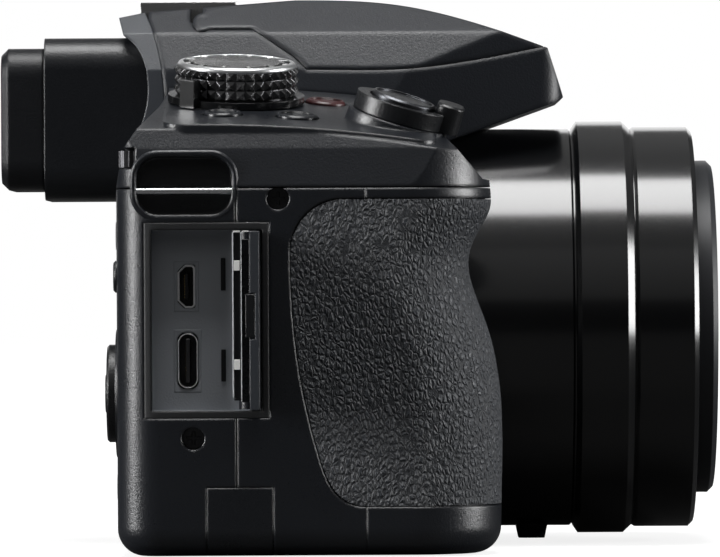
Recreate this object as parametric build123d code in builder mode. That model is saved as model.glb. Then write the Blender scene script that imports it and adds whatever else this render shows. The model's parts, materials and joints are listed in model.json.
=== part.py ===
from build123d import *
from math import cos, pi, radians, sin, tan
import os

os.makedirs("parts", exist_ok=True)

# Bridge camera, modelled closed down with the lens drawn in and the port door standing open.
# Millimetres. X runs across the body and the grip is on the -X side, the lens looks along -Y and
# Z is up. The origin is the mouth of the tripod socket, under the lens axis.

# Moulded body
grip_side = 75.5
far_side = 53.0
case_back = 33.0
case_front = 22.0
wall = 2.0
base_radius = 4.6
corner_radius = 7.0
shoulder_radius = 5.0
cover_seam = 61.8
back_seam = 12.8
seam_gap = 0.12
cut_over = 5.0
run_gap = 0.3
roof_gap = 0.5

# Sloping roof of the body
roof_tilt = 9.0
roof_height = 76.2
roof_station = 45.0
roof_bend = 248.0
roof_crest = 19.0
roof_cap = 79.5
roof_back = 25.0
back_shelf = 68.4
nose_radius = 9.0
deck_lift = 0.8
deck_margin = 2.4
deck_inner = 27.0
deck_corner = 4.0

# Hand grip: shares of its reach from the lens plane, at even steps up from the base
grip_reach = 32.0
grip_inner = 46.5
grip_corner = 15.0
grip_inner_corner = 9.0
grip_root = 10.0
grip_split = 9.0
grip_step = 4.5
grip_shares = (
    0.988, 0.991, 0.994, 0.997, 1.0, 0.998, 0.991, 0.973, 0.944, 0.898,
    0.847, 0.825, 0.872, 0.942, 0.938, 0.938, 0.938, 0.938, 0.938,
)
leather_depth = 1.0
leather_gap = 0.2
leather_top = 59.8
leather_low = 8.4
leather_rear = 3.6
leather_corner = 9.0

# Hump over the lens, flash lid and viewfinder
hump_base_half = 25.0
hump_seam_half = 23.0
hump_crease_half = 19.5
hump_top_half = 11.0
hump_floor = 70.0
lid_seam = 83.1
hump_crease = 89.6
hump_top = 95.6
hump_back_top = 93.4
hump_rear = 31.0
beak_reach = 43.9
beak_top = 86.8
beak_low = 78.2
beak_half = 17.0
beak_corner = 5.0
lid_hinge_y = 19.4
lid_hinge_z = 91.6
lid_arm_floor = 90.3
lid_arm_end = 10.5
lid_step_end = 3.2
lid_tip_z = 87.2
knuckle_radius = 1.7
hump_wall = 1.8
lid_wall = 1.5
lid_seat_y = 15.0
brow_drop = 1.0
beak_slope = 2.8
brow_fall_share = 0.36
seam_rise_share = 0.2
taper_start = 8.0
step_bend = 2.2
shoe_clear = 0.6
shoe_floor = 91.7
shoe_high = 3.8
shoe_throat = 6.3
shoe_lip_thick = 0.8
contact_radius = 0.9
contact_high = 0.3
contact_pitch = 4.2
contact_front = 4.0
pin_radius = 0.6
pin_middle = 13.5
pin_length = 3.6
lid_rear_gap = 0.5
head_half = 13.0
head_front = 36.0
head_back = 31.0
head_floor = 80.0
head_window = 5.6
hollow_back = 12.0
finder_throat = 28.9
eyepiece_half = 13.0
eyepiece_floor = 66.0
eyepiece_top = 83.0
cup_bevel = 1.2
under_half = 20.0
under_front = -18.0
under_back = 22.0
finder_half = 19.5
finder_top = 89.0
finder_floor = 60.5
finder_back = 47.2
finder_corner = 5.5
collar_width = 2.8
collar_half = 23.6
collar_draft = 0.8
collar_rim = 0.9
collar_foot = 4.0
collar_head = 5.2
collar_shares = ((1.54, -0.015), (0.32, 0.184), (0.0, 0.413), (0.43, 0.752))
cup_half = 19.0
cup_top = 87.2
cup_floor = 62.3
cup_back = 54.8
cup_corner = 5.0
cup_wall = 3.4
eyepiece_thick = 2.4
shoe_half = 10.6
shoe_inner_half = 9.4
shoe_front = 13.6
shoe_back = 30.6
shoe_plate = 0.9

# Lens, measured forward of the lens plane Y = 0 and out from its axis
lens_height = 37.7
barrel_radius = 35.2
barrel_reach = 44.9
ring_radius = 36.5
ring_start = 46.4
ring_end = 55.8
ring_bevel = 1.4
hood_radius = 35.45
hood_end = 66.7
sleeve_radius = 31.7
sleeve_wall = 1.9
tube_radius = 29.45
tube_wall = 1.9
tube_front = 70.3
thread_radius = 27.5
thread_depth = 3.6
thread_step = 0.5
slide_gap = 0.35
glass_radius = 26.0
glass_setback = 6.5
barrel_back = 6.0
light_radius = 11.0
inner_barrel = 33.2
flange_start = 10.0
flange_radius = 37.6
flange_rear = 13.0
hood_lip = 3.0
hood_round = 0.8
ring_lead = 0.9
foot_clear = 0.4
foot_place = 38.2
foot_wide = 9.0
foot_long = 4.6
foot_corner = 1.2
foot_taper = 12.0
sleeve_back = 10.0
tube_back = 12.0
tube_round = 0.9
glass_seat = 3.0
glass_crown = 2.6
glass_drop = 0.5
trim_step = 0.8
trim_in = 2.0
group_radius = 20.0
group_length = 8.0
sensor_back = 9.0
sensor_plate = 1.5
sensor_plate_half = 17.0
sensor_half_wide = 7.0
sensor_half_high = 6.0
sensor_post = 14.0
sensor_post_radius = 1.6

# Controls on the deck
dial_x = 45.0
dial_y = 13.1
dial_radius = 10.75
dial_height = 4.9
dial_base = 1.5
dial_points = 38
dial_rows = 3
dial_tooth = 0.55
button_x = 61.0
drive_y = 15.1
drive_radius = 3.2
function_y = 2.5
function_radius = 3.5
record_x = 41.0
record_y = -2.2
record_radius = 3.4
release_x = 57.0
release_y = -14.4
release_lift = 0.9
release_radius = 8.0
release_height = 3.2
release_button = 5.6
release_lean = 17.0
deck_front = -21.0
dial_shaft = 4.0
release_shaft = 5.9
release_seat = 5.0
release_rim = 1.0
release_taper = 4.0
release_reach = 3.0
release_deep = 6.4
dial_stem = 6.0
dial_crown = 0.6
dial_dome = 60.0
lever_radius = 11.7
lever_tab = 1.3
lever_wide = 3.2
lever_high = 4.8
lever_angle = -130.4
button_deep = 4.2
button_flange = 0.8
button_collar = 0.9
button_bevel = 0.35
button_proud = 0.6
button_dish = 0.3
tab_wide = 6.6
tab_reach = 2.4
tab_high = 4.8

# Back of the body
pad_x = 58.0
pad_z = 27.2
pad_base = 10.8
pad_radius = 8.3
pad_proud = 2.3
pad_button = 3.5
small_button = 2.7
wheel_x = 61.8
wheel_z = 66.85
wheel_radius = 7.4
wheel_height = 2.9
screen_left = 46.0
screen_right = 24.0
screen_low = 6.0
screen_high = 56.5
panel_thick = 2.6
screen_corner = 2.5
pad_step = 0.4
display_x = 50.0
display_z = 11.1
play_x = 66.0
play_z = 47.0
lock_x = 52.0
lock_z = 54.0
wheel_y = 25.4
wheel_mouth = 3.2
wheel_slot = 14.5
wheel_ribs = 30
diopter_y = 40.0
diopter_z = 72.0
diopter_radius = 4.2
diopter_thick = 2.4
diopter_ribs = 22

# Side of the body
lug_back = 29.4
lug_front = 13.4
lug_drop = 4.5
lug_rise = 5.3
lug_low = cover_seam - lug_drop
lug_high = cover_seam + lug_rise
lug_depth = 4.8
lug_corner = 3.6
bar_radius = 0.6
bar_drop = 0.5
bar_height = cover_seam - bar_drop
port_back = 27.0
port_low = 24.4
port_high = 54.8
port_depth = 4.8
hinge_x = 73.6
hinge_y = 10.55
hinge_radius = 1.85
door_shell = 1.7
gasket_thick = 2.7
panel_plate = 0.85
video_y = 21.2
video_z = 45.3
video_wide = 3.0
video_high = 7.3
usb_y = 21.0
usb_z = 32.8
usb_wide = 3.5
usb_high = 9.4
socket_rim = 0.35
socket_deep = 6.0
flap_back = 17.8
flap_front = 6.8
flap_top = 11.5
screw_radius = 1.9
well_high_y = 5.7
well_high_z = 60.0
well_low_y = 20.1
well_low_z = 19.8
socket_proud = 0.2
tongue_thick = 0.7
tongue_gap = 1.05
door_corner = 2.4
gasket_margin = 1.4
claw_low = 31.6
claw_top = 47.6
claw_high = 1.9
recess_depth = 0.7
recess_share = 0.6
recess_wide = 0.5
lug_wall = 1.2
bar_inset = 0.9
bar_grip = 0.8
boss_wall = 1.5
boss_depth = 4.0
tray_front = 7.3
tray_wall = 1.2
fit_gap = 0.05

# Base
plate_half = 38.0
plate_front = -12.0
plate_back = 24.0
plate_lip = 2.0
door_outer = 70.6
door_inner = 50.0
door_front = -20.0
door_back = 12.0
door_thick = 1.8
plate_rim = 1.0
screw_x = 33.0
screw_front = -8.0
screw_back = 20.0
base_screw_head = 1.9
base_screw_shank = 1.0
base_screw_sink = 1.2
bush_radius = 4.6
lock_place = -66.0
lock_half = 2.0
lock_low = -8.0
lock_length = 6.0
lock_slide = 3.0

# Inside
box_wall = 0.8
cell_x = 62.5
cell_wide = 12.4
cell_deep = 29.0
cell_high = 44.0
cell_front = 18.6
board_y = 17.0
board_thick = 1.2
frame_y = 20.5
frame_thick = 1.0
socket_radius = 2.6
socket_length = 7.0
battery_rise = 0.6
box_lip = 1.5
cell_round = 1.5
card_thick = 2.1
card_wide = 24.0
card_high = 32.0
frame_right = 63.7
frame_low = 6.0
frame_high = 56.0
frame_inset = 3.0
post_radius = 1.5
post_outer = 61.0
post_middle = 44.0
post_inner = 29.0
board_half = 46.0
chip_thick = 1.2
chip_shares = ((0.56, 0.36, 0.145, 0.28), (0.76, 0.4, 0.103, 0.24), (0.27, 0.44, 0.093, 0.18))


def block(low, high, mode=Mode.ADD):
    """Box between two corners, in the part being built."""
    size = [b - a for a, b in zip(low, high)]
    with Locations(low):
        Box(*size, align=(Align.MIN, Align.MIN, Align.MIN), mode=mode)


def roof_line(inset, lift):
    """Closed side profile of everything above the roof at its station."""
    top = roof_height - inset + lift
    front, back = -grip_reach - cut_over, case_back + cut_over
    drop = (roof_crest - front) ** 2 / (2 * roof_bend)
    middle = (roof_crest + front) / 2
    drop_middle = (roof_crest - middle) ** 2 / (2 * roof_bend)
    return [
        (front, top - drop),
        (middle, top - drop_middle),
        (roof_crest, top),
        (back, top),
        (back, top + hump_top),
        (front, top + hump_top),
    ]


def trim_form(inset):
    """Cut the solid being built to the body's end view, side view and sloping roof."""
    side, left, back = grip_side - inset, far_side - inset, case_back - inset
    lean = shoulder_radius / 4
    with BuildSketch(Plane.XZ) as across:
        with BuildLine():
            Polyline(
                (-side, inset),
                (left, inset),
                (left, cover_seam),
                (left - lean, back_shelf),
                (left - lean - shoulder_radius, roof_cap - inset),
                (-side + lean + shoulder_radius, roof_cap - inset),
                (-side + lean, back_shelf),
                (-side, cover_seam),
                close=True,
            )
        make_face()
    extrude(across.sketch, amount=far_side + grip_side, both=True, mode=Mode.INTERSECT)
    nose = grip_reach * grip_shares[-1] - inset
    nose_top = roof_height - (roof_crest + grip_reach) ** 2 / (2 * roof_bend) - inset
    with BuildSketch(Plane.YZ) as along:
        with BuildLine():
            Polyline(
                (-grip_reach - cut_over, inset),
                (back, inset),
                (back, cover_seam),
                (back - lean, back_shelf - inset),
                (roof_back + lean, roof_height - inset),
                (roof_back, roof_cap - inset),
                (nose_radius - nose, roof_cap - inset),
                (nose_radius - nose, nose_top + lean),
                (lean - nose, nose_top - nose_radius + lean),
                (-grip_reach - cut_over, cover_seam),
                close=True,
            )
        make_face()
    extrude(along.sketch, amount=far_side + grip_side, both=True, mode=Mode.INTERSECT)
    line = roof_line(inset, roof_station * tan(radians(roof_tilt)))
    with BuildSketch(Plane.YZ) as above:
        with BuildLine():
            ThreePointArc(line[0], line[1], line[2])
            Polyline(line[2], line[3], line[4], line[5], line[0])
        make_face()
    for hand in (-1, 1):
        extrude(
            above.sketch,
            amount=2 * grip_side,
            dir=(hand * cos(radians(roof_tilt)), 0, -sin(radians(roof_tilt))),
            mode=Mode.SUBTRACT,
        )


def case_form(inset):
    """Outer form of the body without its grip, drawn in by inset on every side."""
    side, left = grip_side - inset, far_side - inset
    back, front = case_back - inset, case_front - inset
    with BuildPart() as form:
        with BuildSketch(Plane.XY.offset(inset)) as plan:
            with BuildLine():
                Polyline((-side, -front), (left, -front), (left, back), (-side, back), close=True)
            make_face()
            rounded = plan.vertices().group_by(Axis.Y)[-1]
            rounded += plan.vertices().group_by(Axis.Y)[0].sort_by(Axis.X)[-1:]
            fillet(rounded, corner_radius - inset)
        extrude(amount=hump_top)
        foot = form.edges().group_by(Axis.Z)[0]
        fillet(foot.filter_by(lambda edge: edge.center().Y > -front + roof_gap), base_radius - inset)
        block(
            (-side - cut_over, -front - cut_over, -cut_over),
            (-grip_inner, -grip_split, hump_top),
            mode=Mode.SUBTRACT,
        )
        trim_form(inset)
    return form.part


def grip_form(inset):
    """Outer form of the grip ahead of the body's front wall, drawn in by inset."""
    side, inner = grip_side - inset, grip_inner + inset
    bend, inner_bend = grip_corner - inset, grip_inner_corner - inset
    with BuildPart() as form:
        for index, share in enumerate(grip_shares):
            reach = grip_reach * share - inset
            with BuildSketch(Plane.XY.offset(grip_step * index)):
                with BuildLine():
                    Line((-side, grip_root), (-side, bend - reach))
                    RadiusArc((-side, bend - reach), (bend - side, -reach), -bend)
                    Line((bend - side, -reach), (-inner - inner_bend, -reach))
                    RadiusArc((-inner - inner_bend, -reach), (-inner, inner_bend - reach), -inner_bend)
                    Line((-inner, inner_bend - reach), (-inner, grip_root))
                    Line((-inner, grip_root), (-side, grip_root))
                make_face()
        loft()
        split(bisect_by=Plane.XZ.offset(grip_split), keep=Keep.TOP)
        split(bisect_by=Plane.XY.offset(inset), keep=Keep.TOP)
        foot = form.edges().group_by(Axis.Z)[0]
        fillet(foot.filter_by(lambda edge: edge.center().Y < -grip_split - roof_gap), base_radius - inset)
        trim_form(inset)
    return form.part


def side_box(low, high, grow=0.0, depth=cut_over):
    """Box cut from the grip side inwards, from (y, z) corners grown by a clearance."""
    block(
        (-grip_side - cut_over, low[0] - grow, low[1] - grow),
        (depth - grip_side, high[0] + grow, high[1] + grow),
        mode=Mode.SUBTRACT,
    )


def lens_cylinder(radius, near, far, mode=Mode.ADD):
    """Cylinder on the lens axis between two distances forward of the lens plane."""
    with BuildSketch(Plane.XZ.offset(near)) as disc:
        with Locations((0, lens_height)):
            Circle(radius)
    extrude(disc.sketch, amount=far - near, mode=mode)


def lens_ring(profile):
    """Solid turned about the lens axis from points (forward, radius)."""
    with BuildPart() as turned:
        with BuildSketch(Plane.YZ):
            with BuildLine():
                Polyline(*[(-forward, lens_height + radius) for forward, radius in profile], close=True)
            make_face()
        revolve(axis=Axis((0, 0, lens_height), (0, 1, 0)))
    return turned.part


def deck_plane(x, y, lift=0.0):
    """Plane on the raised deck at a place, its Z axis square to the sloping roof."""
    slope = tan(radians(roof_tilt))
    height = roof_height + deck_lift - slope * (x - roof_station)
    height -= (roof_crest - y) ** 2 / (2 * roof_bend)
    along = (roof_crest - y) / roof_bend
    normal = Vector(-slope, -along, 1).normalized()
    return Plane(origin=Vector(-x, y, height) + normal * lift, x_dir=(0, -1, 0), z_dir=normal)


def back_plane(x, z):
    """Plane on the back wall, looking out of it."""
    return Plane(origin=(-x, case_back, z), x_dir=(-1, 0, 0), z_dir=(0, 1, 0))


def rounded_box(half, low, high, radius, near, far):
    """Prism along Y with a rounded upright section centred on the lens plane."""
    with BuildPart() as prism:
        with BuildSketch(Plane.XZ.offset(-near)):
            with Locations((0, (low + high) / 2)):
                RectangleRounded(2 * half, high - low, radius)
        extrude(amount=near - far)
    return prism.part


release_normal = Vector(
    -sin(radians(roof_tilt)), -sin(radians(release_lean)), cos(radians(release_lean))
).normalized()
release_plane = Plane(
    origin=deck_plane(release_x, release_y).origin + release_normal * release_lift,
    x_dir=(1, 0, 0),
    z_dir=release_normal,
)

outer_case, inner_case = case_form(0), case_form(wall)
outer_grip, inner_grip = grip_form(0), grip_form(wall)
skin_case, skin_grip = case_form(leather_depth), grip_form(leather_depth)
pieces = {}


def keep(part, name):
    """Name a finished piece and write it to its own file."""
    part.label = name
    pieces[name] = part
    export_step(part, "parts/" + name + ".step")


# Rubber skin of the grip, set in a pocket of its own outline
def leather_solid(grow):
    """Everything inside the leather outline, grown by a gap, down to the leather's depth."""
    left, top, low = leather_rear + grow, leather_top + grow, leather_low - grow
    front = -grip_reach - cut_over
    with BuildSketch(Plane.YZ) as outline:
        with BuildLine():
            Line((front, top), (left - leather_corner, top))
            RadiusArc((left - leather_corner, top), (left, top - leather_corner), leather_corner)
            Spline(
                (left, top - leather_corner),
                (left - leather_depth, (top + low) / 2),
                (left - leather_corner / 2, low + leather_corner),
                (left - leather_corner - leather_rear, low),
                tangents=((0, -1), (-1, 0)),
            )
            Polyline((left - leather_corner - leather_rear, low), (front, low), (front, top))
        make_face()
    with BuildPart() as skin:
        add(outer_grip)
        add(outer_case)
        add(skin_grip, mode=Mode.SUBTRACT)
        add(skin_case, mode=Mode.SUBTRACT)
        block(
            (-grip_inner - leather_depth - roof_gap, grow - case_front - leather_gap, -cut_over),
            (far_side + cut_over, case_back + cut_over, hump_top + cut_over),
            mode=Mode.SUBTRACT,
        )
        extrude(outline.sketch, amount=2 * grip_side, both=True, mode=Mode.INTERSECT)
    return skin.part


grip_leather = leather_solid(0.0)
leather_pocket = leather_solid(leather_gap)


# Body shell: walls, pockets for the strap lugs, screw bosses and every opening in the sides
def lug_outline(hand, grow):
    """Rounded outline of a strap lug's recess on one side of the body."""
    with BuildSketch(Plane.YZ) as outline:
        with Locations(((lug_back + lug_front) / 2, (lug_low + lug_high) / 2)):
            RectangleRounded(
                lug_back - lug_front + 2 * grow,
                lug_high - lug_low + 2 * grow,
                lug_corner + grow,
            )
    return outline.sketch.moved(Location((hand * lug_face(hand), 0, 0)))


def lug_face(hand):
    """Distance of the side wall that carries a lug."""
    return grip_side if hand < 0 else far_side


side_wells = ((well_high_y, well_high_z), (well_low_y, well_low_z))
with BuildPart() as shell:
    add(outer_case)
    add(inner_case, mode=Mode.SUBTRACT)
    for hand in (-1, 1):
        cup = lug_outline(hand, lug_wall)
        extrude(cup, amount=lug_depth + lug_wall, dir=(-hand, 0, 0))
    for y, z in side_wells:
        with Locations(Location((-grip_side, y, z), (0, 90, 0))):
            Cylinder(
                screw_radius + boss_wall,
                wall + boss_depth,
                align=(Align.CENTER, Align.CENTER, Align.MIN),
            )
    add(outer_case, mode=Mode.INTERSECT)
    for hand in (-1, 1):
        hole = lug_outline(hand, 0.0)
        extrude(hole, amount=lug_depth, dir=(-hand, 0, 0), mode=Mode.SUBTRACT)
        bar_x = hand * (lug_face(hand) - bar_inset)
        with Locations(Location((bar_x, (lug_back + lug_front) / 2, bar_height), (90, 0, 0))):
            Cylinder(bar_radius, lug_back - lug_front + 2 * bar_grip, mode=Mode.SUBTRACT)
    for y, z in side_wells:
        with Locations(Location((-grip_side, y, z), (0, 90, 0))):
            Cylinder(screw_radius, 2 * (wall + boss_depth + cut_over), mode=Mode.SUBTRACT)
    side_box((tray_front, port_low - tray_wall), (port_back + tray_wall, port_high + tray_wall), fit_gap)
    side_box((flap_front, -cut_over), (flap_back, flap_top), seam_gap, grip_side - door_outer)
    lens_cylinder(barrel_radius + seam_gap, 0, grip_reach, mode=Mode.SUBTRACT)
    block(
        (-door_outer - seam_gap, door_front - seam_gap, -cut_over),
        (-door_inner + seam_gap, door_back + seam_gap, wall + seam_gap),
        mode=Mode.SUBTRACT,
    )
    block(
        (-plate_half, plate_front, -cut_over),
        (plate_half, plate_back, wall + seam_gap),
        mode=Mode.SUBTRACT,
    )
with BuildPart() as front_case:
    add(shell.part)
    add(leather_pocket, mode=Mode.SUBTRACT)
    block(
        (-grip_side - cut_over, -grip_reach, -cut_over),
        (far_side + cut_over, back_seam - seam_gap, cover_seam - seam_gap),
        mode=Mode.INTERSECT,
    )
keep(front_case.part, "front_case")
keep(grip_leather, "grip_leather")

# Hand grip: open at its root, where it joins the front wall round the battery
with BuildPart() as handgrip:
    add(outer_grip)
    add(inner_grip, mode=Mode.SUBTRACT)
    add(leather_pocket, mode=Mode.SUBTRACT)
    block(
        (-door_outer - seam_gap, door_front - seam_gap, -cut_over),
        (-door_inner + seam_gap, door_back + seam_gap, wall + seam_gap),
        mode=Mode.SUBTRACT,
    )
    lens_cylinder(barrel_radius + seam_gap, 0, grip_reach, mode=Mode.SUBTRACT)
    block(
        (-grip_side - cut_over, -grip_reach - cut_over, -cut_over),
        (-grip_inner, -grip_split, cover_seam - seam_gap),
        mode=Mode.INTERSECT,
    )
keep(handgrip.part, "handgrip")

# Back of the body, with the screen window and the holes for the controls
small_buttons = {
    "display_button": (display_x, display_z),
    "play_button": (play_x, play_z),
    "lock_button": (lock_x, lock_z),
}
with BuildPart() as rear_case:
    add(shell.part)
    block(
        (-grip_side - cut_over, back_seam + seam_gap, -cut_over),
        (far_side + cut_over, case_back + cut_over, cover_seam - seam_gap),
        mode=Mode.INTERSECT,
    )
    with BuildSketch(back_plane(0, 0)) as window:
        with Locations((-(screen_left - screen_right) / 2, (screen_low + screen_high) / 2)):
            RectangleRounded(screen_left + screen_right, screen_high - screen_low, screen_corner)
    extrude(window.sketch, amount=-2 * wall, mode=Mode.SUBTRACT)
    with BuildSketch(back_plane(pad_x, pad_z)) as pad_seat:
        Circle(pad_base)
    extrude(pad_seat.sketch, amount=pad_step)
    with BuildSketch(back_plane(pad_x, pad_z)) as pad_hole:
        Circle(pad_radius + run_gap)
    extrude(pad_hole.sketch, amount=2 * wall, both=True, mode=Mode.SUBTRACT)
    for x, z in small_buttons.values():
        with BuildSketch(back_plane(x, z)) as hole:
            Circle(small_button + run_gap)
        extrude(hole.sketch, amount=2 * wall, both=True, mode=Mode.SUBTRACT)
keep(rear_case.part, "rear_case")

# Top cover: the upper walls, the raised deck, the seat of the release and the control holes
deck_holes = (
    (deck_plane(dial_x, dial_y), dial_shaft + run_gap),
    (deck_plane(button_x, drive_y), drive_radius + run_gap),
    (deck_plane(button_x, function_y), function_radius + run_gap),
    (deck_plane(record_x, record_y), record_radius + run_gap),
    (release_plane, release_shaft + run_gap),
)
with BuildPart() as nose_shell:
    add(outer_grip)
    add(inner_grip, mode=Mode.SUBTRACT)
    block(
        (-grip_side, -grip_reach, cover_seam - cut_over),
        (-grip_inner, -grip_split, hump_top),
        mode=Mode.INTERSECT,
    )
with BuildPart() as deck:
    add(case_form(-deck_lift))
    add(grip_form(-deck_lift))
    with BuildSketch() as plan:
        with BuildLine():
            Polyline(
                (-grip_side + deck_margin, deck_front),
                (-deck_inner, deck_front),
                (-deck_inner, roof_back),
                (-grip_side + deck_margin, roof_back),
                close=True,
            )
        make_face()
        fillet(plan.vertices().sort_by(Axis.X)[:2], deck_corner)
    extrude(plan.sketch, amount=hump_top, mode=Mode.INTERSECT)
    add(skin_case, mode=Mode.SUBTRACT)
    add(skin_grip, mode=Mode.SUBTRACT)
with BuildPart() as top_cover:
    add(shell.part)
    add(nose_shell.part)
    add(deck.part)
    with BuildSketch(release_plane.offset(-release_seat)) as seat:
        Circle(release_radius + release_rim)
    extrude(seat.sketch, amount=release_seat, taper=release_taper)
    lens_cylinder(barrel_radius + seam_gap, 0, grip_reach, mode=Mode.SUBTRACT)
    with BuildSketch(release_plane) as above_release:
        Circle(release_radius + release_reach)
    extrude(above_release.sketch, amount=2 * release_radius, mode=Mode.SUBTRACT)
    for plane, radius in deck_holes:
        with BuildSketch(plane) as hole:
            Circle(radius)
        extrude(hole.sketch, amount=2 * release_radius, both=True, mode=Mode.SUBTRACT)
    with BuildSketch(Plane.XY.offset(wheel_z - wheel_height / 2 - run_gap)) as slot:
        with Locations((-wheel_x, wheel_y)):
            Circle(wheel_radius + run_gap)
        with Locations((-wheel_x, wheel_y + wheel_radius)):
            Rectangle(2 * wheel_slot, 2 * wheel_mouth)
    extrude(slot.sketch, amount=wheel_height + 2 * run_gap, mode=Mode.SUBTRACT)
    block((-under_half, under_front, cover_seam), (under_half, under_back, hump_top), mode=Mode.SUBTRACT)
    block(
        (-grip_side - cut_over, -grip_reach - cut_over, cover_seam + seam_gap),
        (far_side + cut_over, case_back + cut_over, hump_top),
        mode=Mode.INTERSECT,
    )
keep(top_cover.part, "top_cover")


# Hump, its lid and the viewfinder share one form and one side profile of the lid's seam
def hump_form(inset):
    """Outer form of the hump and its beak, drawn in by inset."""
    half = (
        (hump_base_half - inset, hump_floor),
        (hump_seam_half - inset, lid_seam),
        (hump_crease_half - inset, hump_crease - inset / 2),
        (hump_top_half - inset / 2, hump_top - inset),
    )
    with BuildPart() as form:
        with BuildSketch(Plane.XZ) as across:
            with BuildLine():
                Polyline(*half, *[(-x, z) for x, z in reversed(half)], close=True)
            make_face()
        extrude(across.sketch, amount=grip_side, both=True)
        with BuildSketch(Plane.YZ) as along:
            with BuildLine():
                rear = Polyline((hump_rear, hump_floor), (hump_rear, hump_back_top - inset))
                crown = Line(rear @ 1, (lid_step_end, hump_top - inset))
                brow = Spline(
                    crown @ 1,
                    (-lid_seat_y, hump_top - inset - brow_drop),
                    (inset - beak_reach + beak_slope, beak_top - inset),
                    tangents=((-1, 0), (-1, -brow_fall_share)),
                )
                Polyline(
                    brow @ 1,
                    (inset - beak_reach, beak_low + inset / 2),
                    (inset - beak_reach + beak_slope / 4, beak_low + inset / 2 - beak_slope / 4),
                    (-case_front, hump_floor + inset / 2),
                    (hump_rear, hump_floor),
                )
            make_face()
        extrude(along.sketch, amount=grip_side, both=True, mode=Mode.INTERSECT)
        with BuildSketch(Plane.XY) as plan:
            with BuildLine():
                Polyline(
                    (-hump_base_half, hump_rear),
                    (-hump_base_half, -taper_start),
                    (inset - beak_half, -beak_reach + inset),
                    (beak_half - inset, -beak_reach + inset),
                    (hump_base_half, -taper_start),
                    (hump_base_half, hump_rear),
                    close=True,
                )
            make_face()
            fillet(plan.vertices().group_by(Axis.Y)[0], beak_corner - inset)
        extrude(plan.sketch, amount=2 * hump_top, mode=Mode.INTERSECT)
        lens_cylinder(barrel_radius + run_gap, 0, beak_reach + cut_over, mode=Mode.SUBTRACT)
    return form.part


def lid_region(grow):
    """Everything above the lid's seam, as a prism across the hump."""
    with BuildSketch(Plane.YZ) as region:
        with BuildLine():
            Polyline(
                (lid_hinge_y + grow, lid_arm_floor - grow),
                (lid_arm_end, lid_arm_floor - grow),
                (lid_step_end + grow, lid_seam + step_bend - grow),
                (lid_step_end + grow - step_bend, lid_seam - grow),
            )
            seam = Spline(
                (lid_step_end + grow - step_bend, lid_seam - grow),
                (-lid_seat_y, lid_seam - grow),
                (-beak_reach + beak_slope, lid_tip_z - grow),
                tangents=((-1, 0), (-1, seam_rise_share)),
            )
            Polyline(
                seam @ 1,
                (-beak_reach - cut_over, lid_tip_z - grow),
                (-beak_reach - cut_over, hump_top + cut_over),
                (lid_hinge_y + grow, hump_top + cut_over),
                (lid_hinge_y + grow, lid_arm_floor - grow),
            )
        make_face()
        with Locations((lid_hinge_y, lid_hinge_z)):
            Circle(knuckle_radius + grow)
    with BuildPart() as prism:
        extrude(region.sketch, amount=grip_side, both=True)
    return prism.part


finder_rise = finder_top - back_shelf
collar_curve = [
    (finder_throat + out_share * collar_width, finder_top - down_share * finder_rise)
    for out_share, down_share in collar_shares
]
collar_curve.append((finder_throat + collar_foot, back_shelf + wall / 2))
hump_solid = hump_form(0)
hump_cavity = hump_form(hump_wall)
with BuildPart() as collar_band:
    with BuildSketch(Plane.YZ) as band:
        with BuildLine():
            inner = Spline(*collar_curve)
            Polyline(
                inner @ 1,
                (finder_throat + collar_width, back_shelf - wall),
                (finder_throat, back_shelf - wall),
                (finder_throat - collar_width, back_shelf + wall),
            )
            outer = Spline(
                (finder_throat - collar_width, back_shelf + wall),
                (finder_throat - collar_width, finder_top - collar_shares[2][1] * finder_rise),
                (finder_throat - collar_width / 2, finder_top - collar_rim),
                (hump_rear - collar_width / 2, hump_back_top + fit_gap),
            )
            Polyline(outer @ 1, (finder_throat + collar_head, hump_back_top - collar_rim), inner @ 0)
        make_face()
    extrude(band.sketch, amount=grip_side, both=True)
with BuildPart() as viewfinder_collar:
    with BuildSketch(Plane.XZ) as across:
        with BuildLine():
            half = (
                (collar_half, hump_floor - 2 * wall),
                (collar_half - collar_draft, lid_seam),
                (hump_crease_half, hump_crease),
                (hump_top_half, hump_top),
            )
            Polyline(*half, *[(-x, z) for x, z in reversed(half)], close=True)
        make_face()
    extrude(across.sketch, amount=grip_side, both=True)
    add(collar_band.part, mode=Mode.INTERSECT)
    add(outer_case, mode=Mode.SUBTRACT)
    block((-shoe_half, shoe_front, shoe_floor), (shoe_half, shoe_back, hump_top), mode=Mode.SUBTRACT)
keep(viewfinder_collar.part, "viewfinder_collar")

with BuildPart() as flash_lid:
    add(hump_solid)
    add(hump_form(lid_wall), mode=Mode.SUBTRACT)
    add(lid_region(0), mode=Mode.INTERSECT)
    block(
        (-shoe_half - shoe_clear, shoe_front - shoe_clear - wall / 2, hump_floor),
        (shoe_half + shoe_clear, hump_rear, hump_top + cut_over),
        mode=Mode.SUBTRACT,
    )
    for hand in (-1, 1):
        with Locations(Location((hand * pin_middle, lid_hinge_y, lid_hinge_z), (0, 90, 0))):
            Cylinder(knuckle_radius, pin_length)
            Cylinder(pin_radius + fit_gap, pin_length, mode=Mode.SUBTRACT)
    add(hump_solid, mode=Mode.INTERSECT)
with BuildPart() as flash_head:
    block((-head_half, -head_front, head_floor), (head_half, -head_back, hump_top))
    add(hump_form(lid_wall), mode=Mode.INTERSECT)
    block(
        (-head_half + wall, -head_front - wall, head_floor + wall / 2),
        (head_half - wall, -head_front + wall, head_floor + head_window),
        mode=Mode.SUBTRACT,
    )
with BuildPart() as flash_window:
    block(
        (-head_half + wall, -head_front, head_floor + wall / 2),
        (head_half - wall, -head_front + wall, head_floor + head_window),
    )
arm_middle = (hump_base_half + shoe_half + fit_gap) / 2
arm_room = (hump_base_half - shoe_half - fit_gap) / 2
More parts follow.
